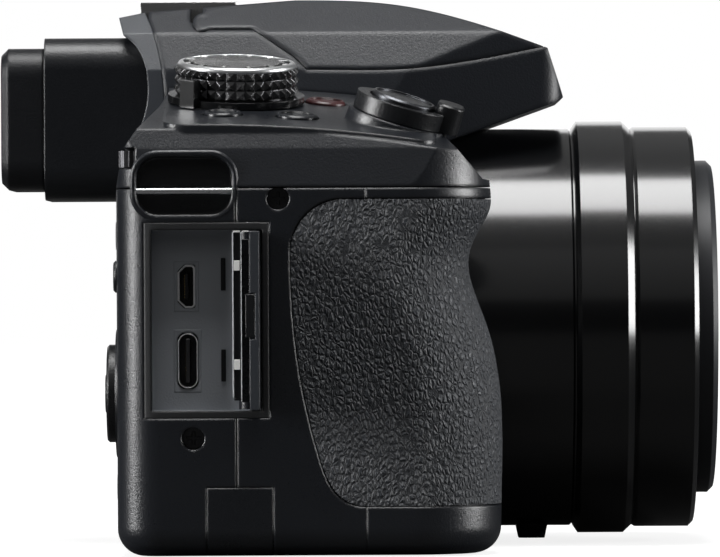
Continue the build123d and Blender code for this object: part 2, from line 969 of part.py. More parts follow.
with BuildPart() as hollow:
    add(hump_cavity)
    block(
        (-hump_base_half, -beak_reach, hump_floor),
        (hump_base_half, hollow_back, hump_top),
        mode=Mode.INTERSECT,
    )
with BuildPart() as lid_room:
    add(lid_region(seam_gap))
    for hand in (-1, 1):
        block(
            (hand * arm_middle - arm_room, lid_hinge_y, lid_hinge_z),
            (
                hand * arm_middle + arm_room,
                lid_hinge_y + knuckle_radius + lid_rear_gap,
                hump_top + cut_over,
            ),
        )
    block(
        (-shoe_half - fit_gap, shoe_front - shoe_clear, hump_floor),
        (shoe_half + fit_gap, hump_rear, hump_top + cut_over),
        mode=Mode.SUBTRACT,
    )
with BuildPart() as hump_housing:
    add(hump_solid)
    add(hollow.part, mode=Mode.SUBTRACT)
    add(outer_case, mode=Mode.SUBTRACT)
    add(outer_grip, mode=Mode.SUBTRACT)
    add(top_cover.part, mode=Mode.SUBTRACT)
    add(collar_band.part, mode=Mode.SUBTRACT)
    block((-grip_side, finder_throat, hump_floor), (grip_side, cup_back, hump_top), mode=Mode.SUBTRACT)
    add(lid_room.part, mode=Mode.SUBTRACT)
    block(
        (-shoe_half - fit_gap, shoe_front - shoe_clear, shoe_floor),
        (shoe_half + fit_gap, hump_rear, hump_top + cut_over),
        mode=Mode.SUBTRACT,
    )
keep(flash_lid.part, "flash_lid")
keep(flash_head.part, "flash_head")
keep(flash_window.part, "flash_window")
keep(hump_housing.solids().sort_by(SortBy.VOLUME)[-1], "hump_housing")
with BuildPart() as lid_pins:
    for hand in (-1, 1):
        inner_end, outer_end = shoe_half + fit_gap, pin_middle + pin_length / 2
        with Locations(Location((hand * (inner_end + outer_end) / 2, lid_hinge_y, lid_hinge_z), (0, 90, 0))):
            Cylinder(pin_radius, outer_end - inner_end)
keep(lid_pins.part, "lid_pins")

with BuildPart() as hot_shoe:
    with BuildSketch(Plane.XZ.offset(-shoe_back)) as rail:
        with BuildLine():
            half = (
                (shoe_half, shoe_floor),
                (shoe_half, shoe_floor + shoe_high),
                (shoe_throat, shoe_floor + shoe_high),
                (shoe_throat, shoe_floor + shoe_high - shoe_lip_thick),
                (shoe_inner_half, shoe_floor + shoe_high - shoe_lip_thick),
                (shoe_inner_half, shoe_floor + shoe_plate),
            )
            Polyline(*half, *[(-x, z) for x, z in reversed(half)], close=True)
        make_face()
    extrude(rail.sketch, amount=shoe_back - shoe_front)
keep(hot_shoe.part, "hot_shoe")
with BuildPart() as shoe_contacts:
    with Locations(
        (0, (shoe_front + shoe_back) / 2, shoe_floor + shoe_plate),
        *[
            (x, shoe_front + contact_front, shoe_floor + shoe_plate)
            for x in (-contact_pitch, 0, contact_pitch)
        ],
    ):
        Cylinder(contact_radius, contact_high, align=(Align.CENTER, Align.CENTER, Align.MIN))
keep(shoe_contacts.part, "shoe_contacts")

with BuildPart() as viewfinder_housing:
    add(rounded_box(finder_half, finder_floor, finder_top, finder_corner, finder_throat - wall, finder_back))
    with BuildSketch(Plane.YZ) as front_of_finder:
        with BuildLine():
            inner = Spline(*collar_curve)
            Polyline(
                inner @ 1,
                (case_back + fit_gap, cover_seam),
                (case_back + fit_gap, finder_floor - cut_over),
                (0, finder_floor - cut_over),
                (0, hump_top),
                (collar_curve[0][0], hump_top),
                inner @ 0,
            )
        make_face()
    extrude(front_of_finder.sketch, amount=grip_side, both=True, mode=Mode.SUBTRACT)
    add(outer_case, mode=Mode.SUBTRACT)
    add(
        rounded_box(
            eyepiece_half, eyepiece_floor, eyepiece_top, finder_corner / 2, 0, finder_back + cut_over
        ),
        mode=Mode.SUBTRACT,
    )
    add(hump_housing.part, mode=Mode.SUBTRACT)
keep(viewfinder_housing.part, "viewfinder_housing")
with BuildPart() as eyecup:
    add(rounded_box(cup_half, cup_floor, cup_top, cup_corner, finder_back + seam_gap, cup_back))
    chamfer(eyecup.faces().sort_by(Axis.Y)[-1].edges(), cup_bevel)
    with BuildSketch(Plane.XZ.offset(-cup_back - fit_gap)) as mouth:
        with Locations((0, (cup_floor + cup_top) / 2)):
            RectangleRounded(2 * (cup_half - cup_wall), cup_top - cup_floor - 2 * cup_wall, cup_corner / 2)
    with BuildSketch(Plane.XZ.offset(-finder_back)) as throat:
        with Locations((0, (eyepiece_floor + eyepiece_top) / 2)):
            RectangleRounded(2 * eyepiece_half, eyepiece_top - eyepiece_floor, cup_corner / 2)
    loft([mouth.sketch.face(), throat.sketch.face()], mode=Mode.SUBTRACT)
keep(eyecup.part, "eyecup")
with BuildPart() as eyepiece_lens:
    add(
        rounded_box(
            eyepiece_half, eyepiece_floor, eyepiece_top, finder_corner / 2,
            finder_back - eyepiece_thick, finder_back - fit_gap,
        )
    )
keep(eyepiece_lens.part, "eyepiece_lens")
with BuildPart() as viewfinder_display:
    add(
        rounded_box(
            eyepiece_half, eyepiece_floor, eyepiece_top, finder_corner / 2,
            case_back + wall / 2, case_back + 2 * wall,
        )
    )
keep(viewfinder_display.part, "viewfinder_display")

# Lens: the fixed barrel with its rings, and the two tubes that slide out of it
lens_barrel = lens_ring((
    (barrel_back, light_radius),
    (barrel_back, inner_barrel),
    (barrel_back + flange_start, inner_barrel),
    (barrel_back + flange_start, flange_radius),
    (case_front - wall, flange_radius),
    (case_front - wall, inner_barrel),
    (case_front, inner_barrel),
    (case_front, barrel_radius),
    (barrel_reach, barrel_radius),
    (barrel_reach + slide_gap, barrel_radius - slide_gap),
    (hood_end - hood_lip, barrel_radius - slide_gap),
    (hood_end - hood_lip, sleeve_radius + slide_gap),
    (barrel_back + wall, sleeve_radius + slide_gap),
    (barrel_back + wall, light_radius),
))
with BuildPart() as barrel:
    add(lens_barrel)
    block(
        (-grip_side, -case_front + wall, -cut_over),
        (grip_side, case_back, base_radius + run_gap),
        mode=Mode.SUBTRACT,
    )
    block(
        (-grip_side, -case_front + wall, back_shelf - wall),
        (grip_side, -flange_rear, hump_top),
        mode=Mode.SUBTRACT,
    )
keep(barrel.part, "lens_barrel")
barrel_ring = lens_ring((
    (ring_start - ring_lead, barrel_radius),
    (ring_start, ring_radius),
    (ring_end - ring_bevel, ring_radius),
    (ring_end, barrel_radius),
    (ring_end, barrel_radius - slide_gap),
    (ring_start - ring_lead, barrel_radius - slide_gap),
))
keep(barrel_ring, "barrel_ring")
front_ring = lens_ring((
    (ring_end + seam_gap, barrel_radius - slide_gap),
    (ring_end + seam_gap, hood_radius - slide_gap),
    (ring_end + 2 * slide_gap, hood_radius),
    (hood_end - hood_round, hood_radius),
    (hood_end, hood_radius - hood_round),
    (hood_end, sleeve_radius + slide_gap),
    (hood_end - hood_lip, sleeve_radius + slide_gap),
    (hood_end - hood_lip, barrel_radius - slide_gap),
))
keep(front_ring, "front_ring")
with BuildPart() as barrel_foot:
    with BuildSketch(Plane.XY.offset(foot_clear)) as sole:
        with Locations((0, -foot_place)):
            RectangleRounded(foot_wide, foot_long, foot_corner)
    extrude(sole.sketch, amount=lens_height / 4, taper=-foot_taper)
    lens_cylinder(barrel_radius, 0, hood_end, mode=Mode.SUBTRACT)
keep(barrel_foot.part, "barrel_foot")
middle_barrel = lens_ring((
    (sleeve_back, sleeve_radius - sleeve_wall),
    (sleeve_back, sleeve_radius),
    (hood_end - slide_gap, sleeve_radius),
    (hood_end, sleeve_radius - slide_gap),
    (hood_end, sleeve_radius - sleeve_wall),
))
keep(middle_barrel, "middle_barrel")
front_barrel = lens_ring((
    (tube_back, tube_radius - tube_wall),
    (tube_back, tube_radius),
    (tube_front - tube_round, tube_radius),
    (tube_front, tube_radius - tube_round),
    (tube_front, thread_radius),
    (tube_front - thread_depth, thread_radius),
    (tube_front - thread_depth, thread_radius - thread_step),
    (tube_front - glass_setback, thread_radius - thread_step),
    (tube_front - glass_setback, glass_radius + fit_gap),
    (tube_front - glass_setback - glass_seat, glass_radius + fit_gap),
    (tube_front - glass_setback - glass_seat, glass_radius - wall),
    (tube_front - glass_setback - glass_seat - wall, glass_radius - wall),
    (tube_front - glass_setback - glass_seat - wall, tube_radius - tube_wall),
))
keep(front_barrel, "front_barrel")
front_trim = lens_ring((
    (tube_front - glass_setback, thread_radius - thread_step),
    (tube_front - thread_depth, thread_radius - thread_step),
    (tube_front - glass_setback + trim_step, glass_radius - trim_in),
    (tube_front - glass_setback, glass_radius - trim_in),
))
keep(front_trim, "front_trim")


def lens_glass(radius, near, edge, crown):
    """Glass flat at near, with an edge thickness and a domed front."""
    dome = (radius ** 2 + crown ** 2) / (2 * crown)
    with BuildPart() as glass:
        with Locations(Location((0, -near - edge - crown, lens_height), (-90, 0, 0))):
            Cylinder(radius, edge + crown, align=(Align.CENTER, Align.CENTER, Align.MIN))
        with Locations((0, dome - near - edge - crown, lens_height)):
            Sphere(dome, mode=Mode.INTERSECT)
    return glass.part


keep(
    lens_glass(glass_radius, tube_front - glass_setback - glass_seat, glass_seat - glass_drop, glass_crown),
    "front_element",
)
rear_lens_group = lens_ring((
    (barrel_back + wall, light_radius),
    (barrel_back + wall, group_radius),
    (barrel_back + wall + group_length, group_radius),
    (barrel_back + wall + group_length, group_radius - wall),
    (barrel_back + 2 * wall + group_length / 2, group_radius - wall),
    (barrel_back + 2 * wall + group_length / 2, 0),
    (barrel_back + wall + group_length / 2, 0),
    (barrel_back + wall + group_length / 2, light_radius),
))
keep(rear_lens_group, "rear_lens_group")
with BuildPart() as image_sensor:
    block(
        (-sensor_plate_half, sensor_back - barrel_back - sensor_plate, lens_height - sensor_plate_half),
        (sensor_plate_half, sensor_back - barrel_back, lens_height + sensor_plate_half),
    )
    block(
        (-sensor_half_wide, -barrel_back, lens_height - sensor_half_high),
        (sensor_half_wide, sensor_back - barrel_back, lens_height + sensor_half_high),
    )
    for x in (-1, 1):
        for z in (-1, 1):
            with Locations(Location(
                (x * sensor_post, -barrel_back, lens_height + z * sensor_post), (-90, 0, 0)
            )):
                Cylinder(sensor_post_radius, sensor_back, align=(Align.CENTER, Align.CENTER, Align.MIN))
keep(image_sensor.part, "image_sensor")


# Mode dial with its knurl of small pyramids, and the power lever round its foot
dial_plane = deck_plane(dial_x, dial_y)


def toothed_disc(plane, teeth, outer, inner, height):
    """Prism with pointed ribs all round its edge."""
    points = []
    for index in range(teeth):
        for radius, share in ((outer, 0), (inner, 1 / 2)):
            angle = 2 * pi * (index + share) / teeth
            points.append((radius * cos(angle), radius * sin(angle)))
    with BuildPart() as disc:
        with BuildSketch(plane) as star:
            with BuildLine():
                Polyline(*points, close=True)
            make_face()
        extrude(star.sketch, amount=height)
    return disc.part


with BuildPart() as mode_dial:
    add(
        toothed_disc(
            dial_plane.offset(dial_base), dial_points, dial_radius, dial_radius - dial_tooth, dial_height,
        )
    )
    row = dial_height / dial_rows
    with BuildSketch(Plane(dial_plane.origin, x_dir=dial_plane.x_dir, z_dir=-dial_plane.y_dir)) as knurl:
        with BuildLine():
            zigzag = [(0, dial_base)]
            for index in range(dial_rows):
                low = dial_base + row * index
                zigzag += [(dial_radius - dial_tooth, low), (dial_radius, low + row / 2)]
            zigzag += [(dial_radius - dial_tooth, dial_base + dial_height), (0, dial_base + dial_height)]
            Polyline(*zigzag, close=True)
        make_face()
    revolve(knurl.sketch, axis=Axis(dial_plane.origin, dial_plane.z_dir), mode=Mode.INTERSECT)
    with BuildSketch(dial_plane) as foot:
        Circle(dial_radius - 2 * dial_tooth)
    extrude(foot.sketch, amount=dial_base)
    with BuildSketch(dial_plane) as shaft:
        Circle(dial_shaft)
    extrude(shaft.sketch, amount=-dial_stem)
    with BuildSketch(dial_plane.offset(dial_base + dial_height)) as top:
        Circle(dial_radius - 3 * dial_tooth)
    extrude(top.sketch, amount=dial_crown, taper=dial_dome)
keep(mode_dial.part, "mode_dial")
with BuildPart() as power_lever:
    with BuildSketch(dial_plane.offset(seam_gap)) as ring:
        Circle(lever_radius)
        Circle(dial_radius - 2 * dial_tooth + fit_gap * 2, mode=Mode.SUBTRACT)
    extrude(ring.sketch, amount=dial_base - run_gap)
    with BuildSketch(dial_plane.offset(seam_gap)) as tab:
        with PolarLocations(lever_radius + lever_tab / 2 - run_gap, 1, start_angle=lever_angle):
            Rectangle(lever_tab + run_gap, lever_wide)
    extrude(tab.sketch, amount=lever_high)
keep(power_lever.part, "power_lever")


# Push buttons: a cap with a dished top over a collar that keeps it under the cover
def push_button(plane, radius, proud, dish, deep):
    """Button square to a plane, its collar below the wall that it passes through."""
    with BuildPart() as button:
        with BuildSketch(plane.offset(-deep)) as stem:
            Circle(radius)
        extrude(stem.sketch, amount=deep + proud)
        chamfer(button.faces().sort_by(Axis(plane.origin, plane.z_dir))[-1].edges(), button_bevel)
        with BuildSketch(plane.offset(proud)) as hollow:
            Circle(radius - 2 * button_bevel)
        extrude(hollow.sketch, amount=-dish, mode=Mode.SUBTRACT)
        with BuildSketch(plane.offset(-deep)) as collar:
            Circle(radius + button_collar)
        extrude(collar.sketch, amount=button_flange)
    return button.part


buttons = (
    ("drive_button", deck_plane(button_x, drive_y), drive_radius, button_proud, button_deep),
    ("function_button", deck_plane(button_x, function_y), function_radius, button_proud, button_deep),
    ("record_button", deck_plane(record_x, record_y), record_radius, button_proud, button_deep),
    ("shutter_button", release_plane, release_button, release_height + button_proud, release_deep),
    ("centre_button", back_plane(pad_x, pad_z), pad_button, pad_proud, button_deep),
    *[
        (name, back_plane(x, z), small_button, button_proud, button_deep)
        for name, (x, z) in small_buttons.items()
    ],
)
for name, plane, radius, proud, deep in buttons:
    keep(push_button(plane, radius, proud, button_dish, deep), name)

with BuildPart() as zoom_lever:
    with BuildSketch(release_plane.offset(seam_gap)) as ring:
        Circle(release_radius)
    extrude(ring.sketch, amount=release_height - button_bevel)
    with BuildSketch(release_plane.offset(seam_gap)) as tab:
        with Locations((0, -release_radius)):
            RectangleRounded(tab_wide, 2 * tab_reach, tab_wide / 3)
    extrude(tab.sketch, amount=tab_high)
    chamfer(
        zoom_lever.faces().sort_by(Axis(release_plane.origin, release_plane.z_dir))[-1].edges(),
        button_bevel,
    )
    with BuildSketch(release_plane) as bore:
        Circle(release_button + run_gap)
    extrude(bore.sketch, amount=release_radius, mode=Mode.SUBTRACT)
keep(zoom_lever.part, "zoom_lever")

wheel_plane = Plane(origin=(-wheel_x, wheel_y, wheel_z - wheel_height / 2))
wheel_root = wheel_radius - dial_tooth
keep(toothed_disc(wheel_plane, wheel_ribs, wheel_radius, wheel_root, wheel_height), "rear_dial")
with BuildPart() as cursor_pad:
    with BuildSketch(back_plane(pad_x, pad_z).offset(-button_deep)) as ring:
        Circle(pad_radius)
        Circle(pad_button + button_collar + run_gap, mode=Mode.SUBTRACT)
    extrude(ring.sketch, amount=button_deep + pad_proud - button_bevel)
    chamfer(cursor_pad.faces().sort_by(Axis.Y)[-1].edges(), button_bevel)
    with BuildSketch(back_plane(pad_x, pad_z).offset(-button_deep)) as collar:
        Circle(pad_radius + button_collar)
        Circle(pad_radius, mode=Mode.SUBTRACT)
    extrude(collar.sketch, amount=button_flange)
keep(cursor_pad.part, "cursor_pad")

diopter_plane = Plane(origin=(finder_half, diopter_y, diopter_z), x_dir=(0, 1, 0), z_dir=(1, 0, 0))
keep(
    toothed_disc(diopter_plane, diopter_ribs, diopter_radius, diopter_radius - dial_tooth, diopter_thick),
    "diopter_dial",
)

# Strap bars, one in each side recess
for hand, name in ((-1, "strap_bar_right"), (1, "strap_bar_left")):
    with BuildPart() as bar:
        bar_x = hand * (lug_face(hand) - bar_inset)
        with Locations(Location((bar_x, (lug_back + lug_front) / 2, bar_height), (90, 0, 0))):
            Cylinder(bar_radius, lug_back - lug_front + 2 * bar_grip)
    keep(bar.part, name)

# Ports: a tray with two sockets, and the door on its hinge, standing open
tray_low = (tray_front, port_low - tray_wall)
tray_high = (port_back + tray_wall, port_high + tray_wall)
floor_x = -grip_side + port_depth
with BuildPart() as port_panel:
    block(
        (-grip_side, tray_low[0], tray_low[1]),
        (floor_x + panel_plate, tray_high[0], tray_high[1]),
    )
    add(outer_case, mode=Mode.INTERSECT)
    side_box((hinge_y, port_low), (port_back, port_high), 0.0, port_depth)
    with Locations((-hinge_x, hinge_y, (port_low + port_high) / 2)):
        Cylinder(hinge_radius + run_gap, port_high - port_low, mode=Mode.SUBTRACT)
    block(
        (-grip_side - cut_over, hinge_y - hinge_radius - run_gap, port_low),
        (-hinge_x, hinge_y, port_high),
        mode=Mode.SUBTRACT,
    )
    for y, z, wide, high in (
        (video_y, video_z, video_wide, video_high),
        (usb_y, usb_z, usb_wide, usb_high),
    ):
        with BuildSketch(Plane.YZ.offset(floor_x)) as hole:
            with Locations((y, z)):
                Rectangle(wide, high)
        extrude(hole.sketch, amount=2 * panel_plate, both=True, mode=Mode.SUBTRACT)
keep(port_panel.part, "port_panel")
for name, y, z, wide, high, corner in (
    ("video_socket", video_y, video_z, video_wide, video_high, video_wide / 3),
    ("usb_socket", usb_y, usb_z, usb_wide, usb_high, usb_wide / 2 - fit_gap),
):
    with BuildPart() as socket:
        with BuildSketch(Plane.YZ.offset(floor_x - socket_proud)) as shell_face:
            with Locations((y, z)):
                RectangleRounded(wide, high, corner)
        extrude(shell_face.sketch, amount=socket_deep)
        with BuildSketch(Plane.YZ.offset(floor_x - socket_proud)) as mouth:
            with Locations((y, z)):
                RectangleRounded(wide - 2 * socket_rim, high - 2 * socket_rim, corner - socket_rim)
                Rectangle(tongue_thick, high - 2 * tongue_gap, mode=Mode.SUBTRACT)
        extrude(mouth.sketch, amount=socket_deep - panel_plate, mode=Mode.SUBTRACT)
    keep(socket.part, name)

with BuildPart() as port_door:
    shell_low, shell_high = port_low + run_gap, port_high - run_gap
    with BuildSketch(Plane.XY.offset(shell_low)) as section:
        with Locations((-hinge_x, hinge_y)):
            Circle(hinge_radius)
        with BuildLine():
            reach = port_back - hinge_y - run_gap
            Polyline(
                (-hinge_x, hinge_y - hinge_radius),
                (-hinge_x - reach, hinge_y - hinge_radius),
                (-hinge_x - reach, hinge_y - hinge_radius + door_shell),
                (-hinge_x - hinge_radius, hinge_y - hinge_radius + door_shell),
                (-hinge_x, hinge_y),
                close=True,
            )
        make_face()
    extrude(section.sketch, amount=shell_high - shell_low)
    far = port_door.edges().filter_by(Axis.Y).group_by(Axis.X)[0]
    fillet(far, door_corner)
    gasket_y = hinge_y - hinge_radius + door_shell
    block(
        (-hinge_x - reach + gasket_margin, gasket_y, shell_low + gasket_margin),
        (
            -hinge_x - hinge_radius - gasket_margin / 2,
            gasket_y + gasket_thick / 2,
            shell_high - gasket_margin,
        ),
    )
    for low, high in ((claw_low, claw_low + claw_high), (claw_top, claw_top + claw_high)):
        block(
            (-hinge_x - reach + 2 * gasket_margin, gasket_y, low),
            (-hinge_x - hinge_radius - gasket_margin, gasket_y + gasket_thick, high),
        )
keep(port_door.part, "port_door")

# Flap over the power lead's gap, let into the side wall and the base
with BuildPart() as coupler_flap:
    add(outer_case)
    block(
        (-grip_side - cut_over, flap_front, -cut_over),
        (base_radius - grip_side, flap_back, flap_top),
        mode=Mode.INTERSECT,
    )
    block(
        (-grip_side + wall, flap_front - cut_over, wall),
        (0, flap_back + cut_over, flap_top + cut_over),
        mode=Mode.SUBTRACT,
    )
keep(coupler_flap.part, "coupler_flap")

# Base: plate, tripod bush, battery door and its lock
base_screw_places = [(x, y, 0) for x in (-screw_x, screw_x) for y in (screw_front, screw_back)]
with BuildPart() as base_plate:
    block(
        (-plate_half + seam_gap, plate_front + seam_gap, 0),
        (plate_half - seam_gap, plate_back - seam_gap, wall),
    )
    block(
        (-plate_half - plate_lip, plate_front - plate_lip, wall),
        (plate_half + plate_lip, plate_back + plate_lip, wall + plate_rim),
    )
    Cylinder(bush_radius, 2 * (wall + plate_rim) + cut_over, mode=Mode.SUBTRACT)
    with Locations(*base_screw_places):
        Cylinder(base_screw_head, 2 * base_screw_sink, mode=Mode.SUBTRACT)
        Cylinder(base_screw_shank, 2 * (wall + plate_rim) + cut_over, mode=Mode.SUBTRACT)
keep(base_plate.part, "base_plate")
with BuildPart() as tripod_bush:
    with Locations((0, 0, 0)):
        Cylinder(bush_radius, socket_length, align=(Align.CENTER, Align.CENTER, Align.MIN))
        Cylinder(socket_radius, 2 * (socket_length - wall), mode=Mode.SUBTRACT)
keep(tripod_bush.part, "tripod_bush")
with BuildPart() as battery_door:
    block((-door_outer, door_front, 0), (-door_inner - door_thick / 2, door_back, door_thick))
    hinge_place = (-door_inner - door_thick / 2, (door_front + door_back) / 2, door_thick / 2)
    with Locations(Location(hinge_place, (90, 0, 0))):
        Cylinder(door_thick / 2, door_back - door_front)
    block(
        (lock_place - lock_half - fit_gap, lock_low, -cut_over),
        (lock_place + lock_half + fit_gap, lock_low + lock_length + lock_slide, door_thick / 2),
        mode=Mode.SUBTRACT,
    )
keep(battery_door.part, "battery_door")
with BuildPart() as door_lock:
    block(
        (lock_place - lock_half, lock_low + fit_gap, 0),
        (lock_place + lock_half, lock_low + lock_length, door_thick / 2),
    )
    for share in (1 / 3, 1 / 2, 2 / 3):
        block(
            (lock_place - lock_half, lock_low + lock_length * share, -fit_gap),
            (lock_place + lock_half, lock_low + lock_length * share + recess_wide, recess_wide / 2),
            mode=Mode.SUBTRACT,
        )
keep(door_lock.part, "door_lock")

# Inside: battery and card in their box, boards and frame, screen
cell_low = (-cell_x - cell_wide / 2, -cell_front, wall + battery_rise)
cell_end = (-cell_x + cell_wide / 2, cell_deep - cell_front, wall + battery_rise + cell_high)
card_x = cell_end[0] + 2 * box_wall
with BuildPart() as battery:
    block(cell_low, cell_end)
    fillet(battery.edges().filter_by(Axis.Z), cell_round)
keep(battery.part, "battery")
with BuildPart() as memory_card:
    block(
        (card_x, -card_wide / 2, cell_low[2]),
        (card_x + card_thick, card_wide / 2, cell_low[2] + card_high),
    )
keep(memory_card.part, "memory_card")
with BuildPart() as battery_box:
    block(
        (cell_low[0] - run_gap - box_wall, cell_low[1] - run_gap - box_wall, wall + battery_rise),
        (
            card_x + card_thick + run_gap + box_wall,
            cell_end[1] + run_gap + box_wall,
            cell_end[2] + box_wall,
        ),
    )
    block(
        (cell_low[0] - run_gap - box_wall, -grip_split, wall),
        (-door_inner + box_lip, door_back + box_lip, wall + battery_rise + box_wall),
    )
    block(
        (cell_low[0] - run_gap, cell_low[1] - run_gap, 0),
        (cell_end[0] + run_gap, cell_end[1] + run_gap, cell_end[2]),
        mode=Mode.SUBTRACT,
    )
    block(
        (card_x - run_gap, -card_wide / 2 - run_gap, 0),
        (card_x + card_thick + run_gap, card_wide / 2 + run_gap, cell_low[2] + card_high),
        mode=Mode.SUBTRACT,
    )
keep(battery_box.part, "battery_box")
frame_left = far_side - wall - run_gap
with BuildPart() as chassis:
    block((-frame_right, frame_y, frame_low), (frame_left, frame_y + frame_thick, frame_high))
    for x in (-post_outer, -post_middle, -post_inner):
        for z in (frame_low + frame_inset, frame_high - frame_inset):
            with Locations(Location((x, board_y + board_thick, z), (-90, 0, 0))):
                Cylinder(
                    post_radius,
                    case_back - wall - board_y - board_thick,
                    align=(Align.CENTER, Align.CENTER, Align.MIN),
                )
keep(chassis.part, "chassis")
with BuildPart() as main_board:
    block((-board_half, board_y, frame_low), (frame_left, board_y + board_thick, frame_high))
    board_wide, board_high = frame_left + board_half, frame_high - frame_low
    for x_share, z_share, wide_share, high_share in chip_shares:
        x, z = x_share * board_wide - board_half, frame_low + z_share * board_high
        wide, high = wide_share * board_wide, high_share * board_high
        block((x, board_y - chip_thick, z), (x + wide, board_y, z + high))
keep(main_board.part, "main_board")
with BuildPart() as display_panel:
    block(
        (-screen_right - plate_lip / 2, case_back - wall - panel_thick, screen_low - plate_lip / 2),
        (screen_left - seam_gap, case_back - wall, screen_high + plate_lip / 2),
    )
keep(display_panel.part, "display_panel")
with BuildPart() as display_glass:
    with BuildSketch(back_plane(0, 0)) as face:
        with Locations((-(screen_left - screen_right) / 2, (screen_low + screen_high) / 2)):
            RectangleRounded(
                screen_left + screen_right - 2 * seam_gap,
                screen_high - screen_low - 2 * seam_gap,
                screen_corner,
            )
    extrude(face.sketch, amount=-wall)
    fillet(display_glass.faces().sort_by(Axis.Y)[-1].edges(), seam_gap)
keep(display_glass.part, "display_glass")
with BuildPart() as screws:
    for y, z in side_wells:
        with Locations(Location((-grip_side + wall + boss_depth, y, z), (0, 90, 0))):
            Cylinder(screw_radius - fit_gap, wall, align=(Align.CENTER, Align.CENTER, Align.MAX))
        with Locations((-grip_side + boss_depth, y, z)):
            Box(recess_depth, 2 * recess_share * screw_radius, recess_wide, mode=Mode.SUBTRACT)
            Box(recess_depth, recess_wide, 2 * recess_share * screw_radius, mode=Mode.SUBTRACT)
    with Locations(*base_screw_places):
        Cylinder(base_screw_head - fit_gap, base_screw_sink, align=(Align.CENTER, Align.CENTER, Align.MIN))
        Cylinder(base_screw_shank - fit_gap, wall + plate_rim, align=(Align.CENTER, Align.CENTER, Align.MIN))
        Box(2 * recess_share * base_screw_head, recess_wide, recess_depth, mode=Mode.SUBTRACT)
        Box(recess_wide, 2 * recess_share * base_screw_head, recess_depth, mode=Mode.SUBTRACT)
keep(screws.part, "screws")
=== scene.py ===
"""Looks of a bridge camera with its port door open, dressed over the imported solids."""

from __future__ import annotations

import json
import logging
import math
from dataclasses import dataclass, field
from enum import Enum
from typing import Any, Callable, Iterable, NamedTuple, Sequence

import bmesh
import bpy
from mathutils import Matrix, Vector

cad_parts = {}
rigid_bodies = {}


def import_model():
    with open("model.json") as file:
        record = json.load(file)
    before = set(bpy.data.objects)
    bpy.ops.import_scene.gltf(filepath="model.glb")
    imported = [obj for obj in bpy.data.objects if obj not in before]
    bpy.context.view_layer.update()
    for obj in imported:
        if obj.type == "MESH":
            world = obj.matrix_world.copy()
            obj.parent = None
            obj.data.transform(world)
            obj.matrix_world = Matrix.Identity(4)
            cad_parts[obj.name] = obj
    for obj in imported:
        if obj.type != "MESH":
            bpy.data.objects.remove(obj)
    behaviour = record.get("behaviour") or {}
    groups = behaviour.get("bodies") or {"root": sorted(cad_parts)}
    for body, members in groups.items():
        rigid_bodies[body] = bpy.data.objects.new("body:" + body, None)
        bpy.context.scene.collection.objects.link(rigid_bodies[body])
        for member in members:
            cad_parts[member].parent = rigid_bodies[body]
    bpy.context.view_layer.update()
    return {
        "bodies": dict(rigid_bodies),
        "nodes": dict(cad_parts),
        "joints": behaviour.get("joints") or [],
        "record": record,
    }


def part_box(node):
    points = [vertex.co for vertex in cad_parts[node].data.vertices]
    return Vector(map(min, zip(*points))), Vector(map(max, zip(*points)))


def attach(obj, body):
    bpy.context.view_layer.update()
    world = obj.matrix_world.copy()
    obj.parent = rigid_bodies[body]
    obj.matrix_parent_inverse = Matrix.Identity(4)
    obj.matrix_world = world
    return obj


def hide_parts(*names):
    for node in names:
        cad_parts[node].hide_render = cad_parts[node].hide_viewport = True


log = logging.getLogger("bridge_camera")
Colour = tuple[float, float, float]
Point = tuple[float, float, float]
Pair = tuple[float, float]
MM = 0.001
WHITE: Colour = (1.0, 1.0, 1.0)
BEVEL_SAMPLES = 6
# Sockets of a Mix node that carry colours.
MIX_DARK, MIX_LIGHT, MIX_RESULT = 6, 7, 2


class Body(Enum):
    """Rigid bodies of the model that new pieces ride on."""

    CAMERA = "camera"
    DIAL = "mode_dial"
    FRONT_TUBE = "front_barrel"
    DOOR = "port_door"


class Slot(Enum):
    """Finish slots of the record, one of which is passed with each new piece."""

    BODY = "body_black"
    ACCENT = "body_accent"
    TUBE = "tube_black"
    STEEL = "shoe_steel"
    SILVER = "release_silver"


class Cell(Enum):
    """What a pattern of cells measures the distance to."""

    MIDDLE = "F1"
    EDGE = "DISTANCE_TO_EDGE"


class Corner(NamedTuple):
    """Corner of an outline: its radius, and whether it is cut straight."""

    radius: float
    cut: bool = False


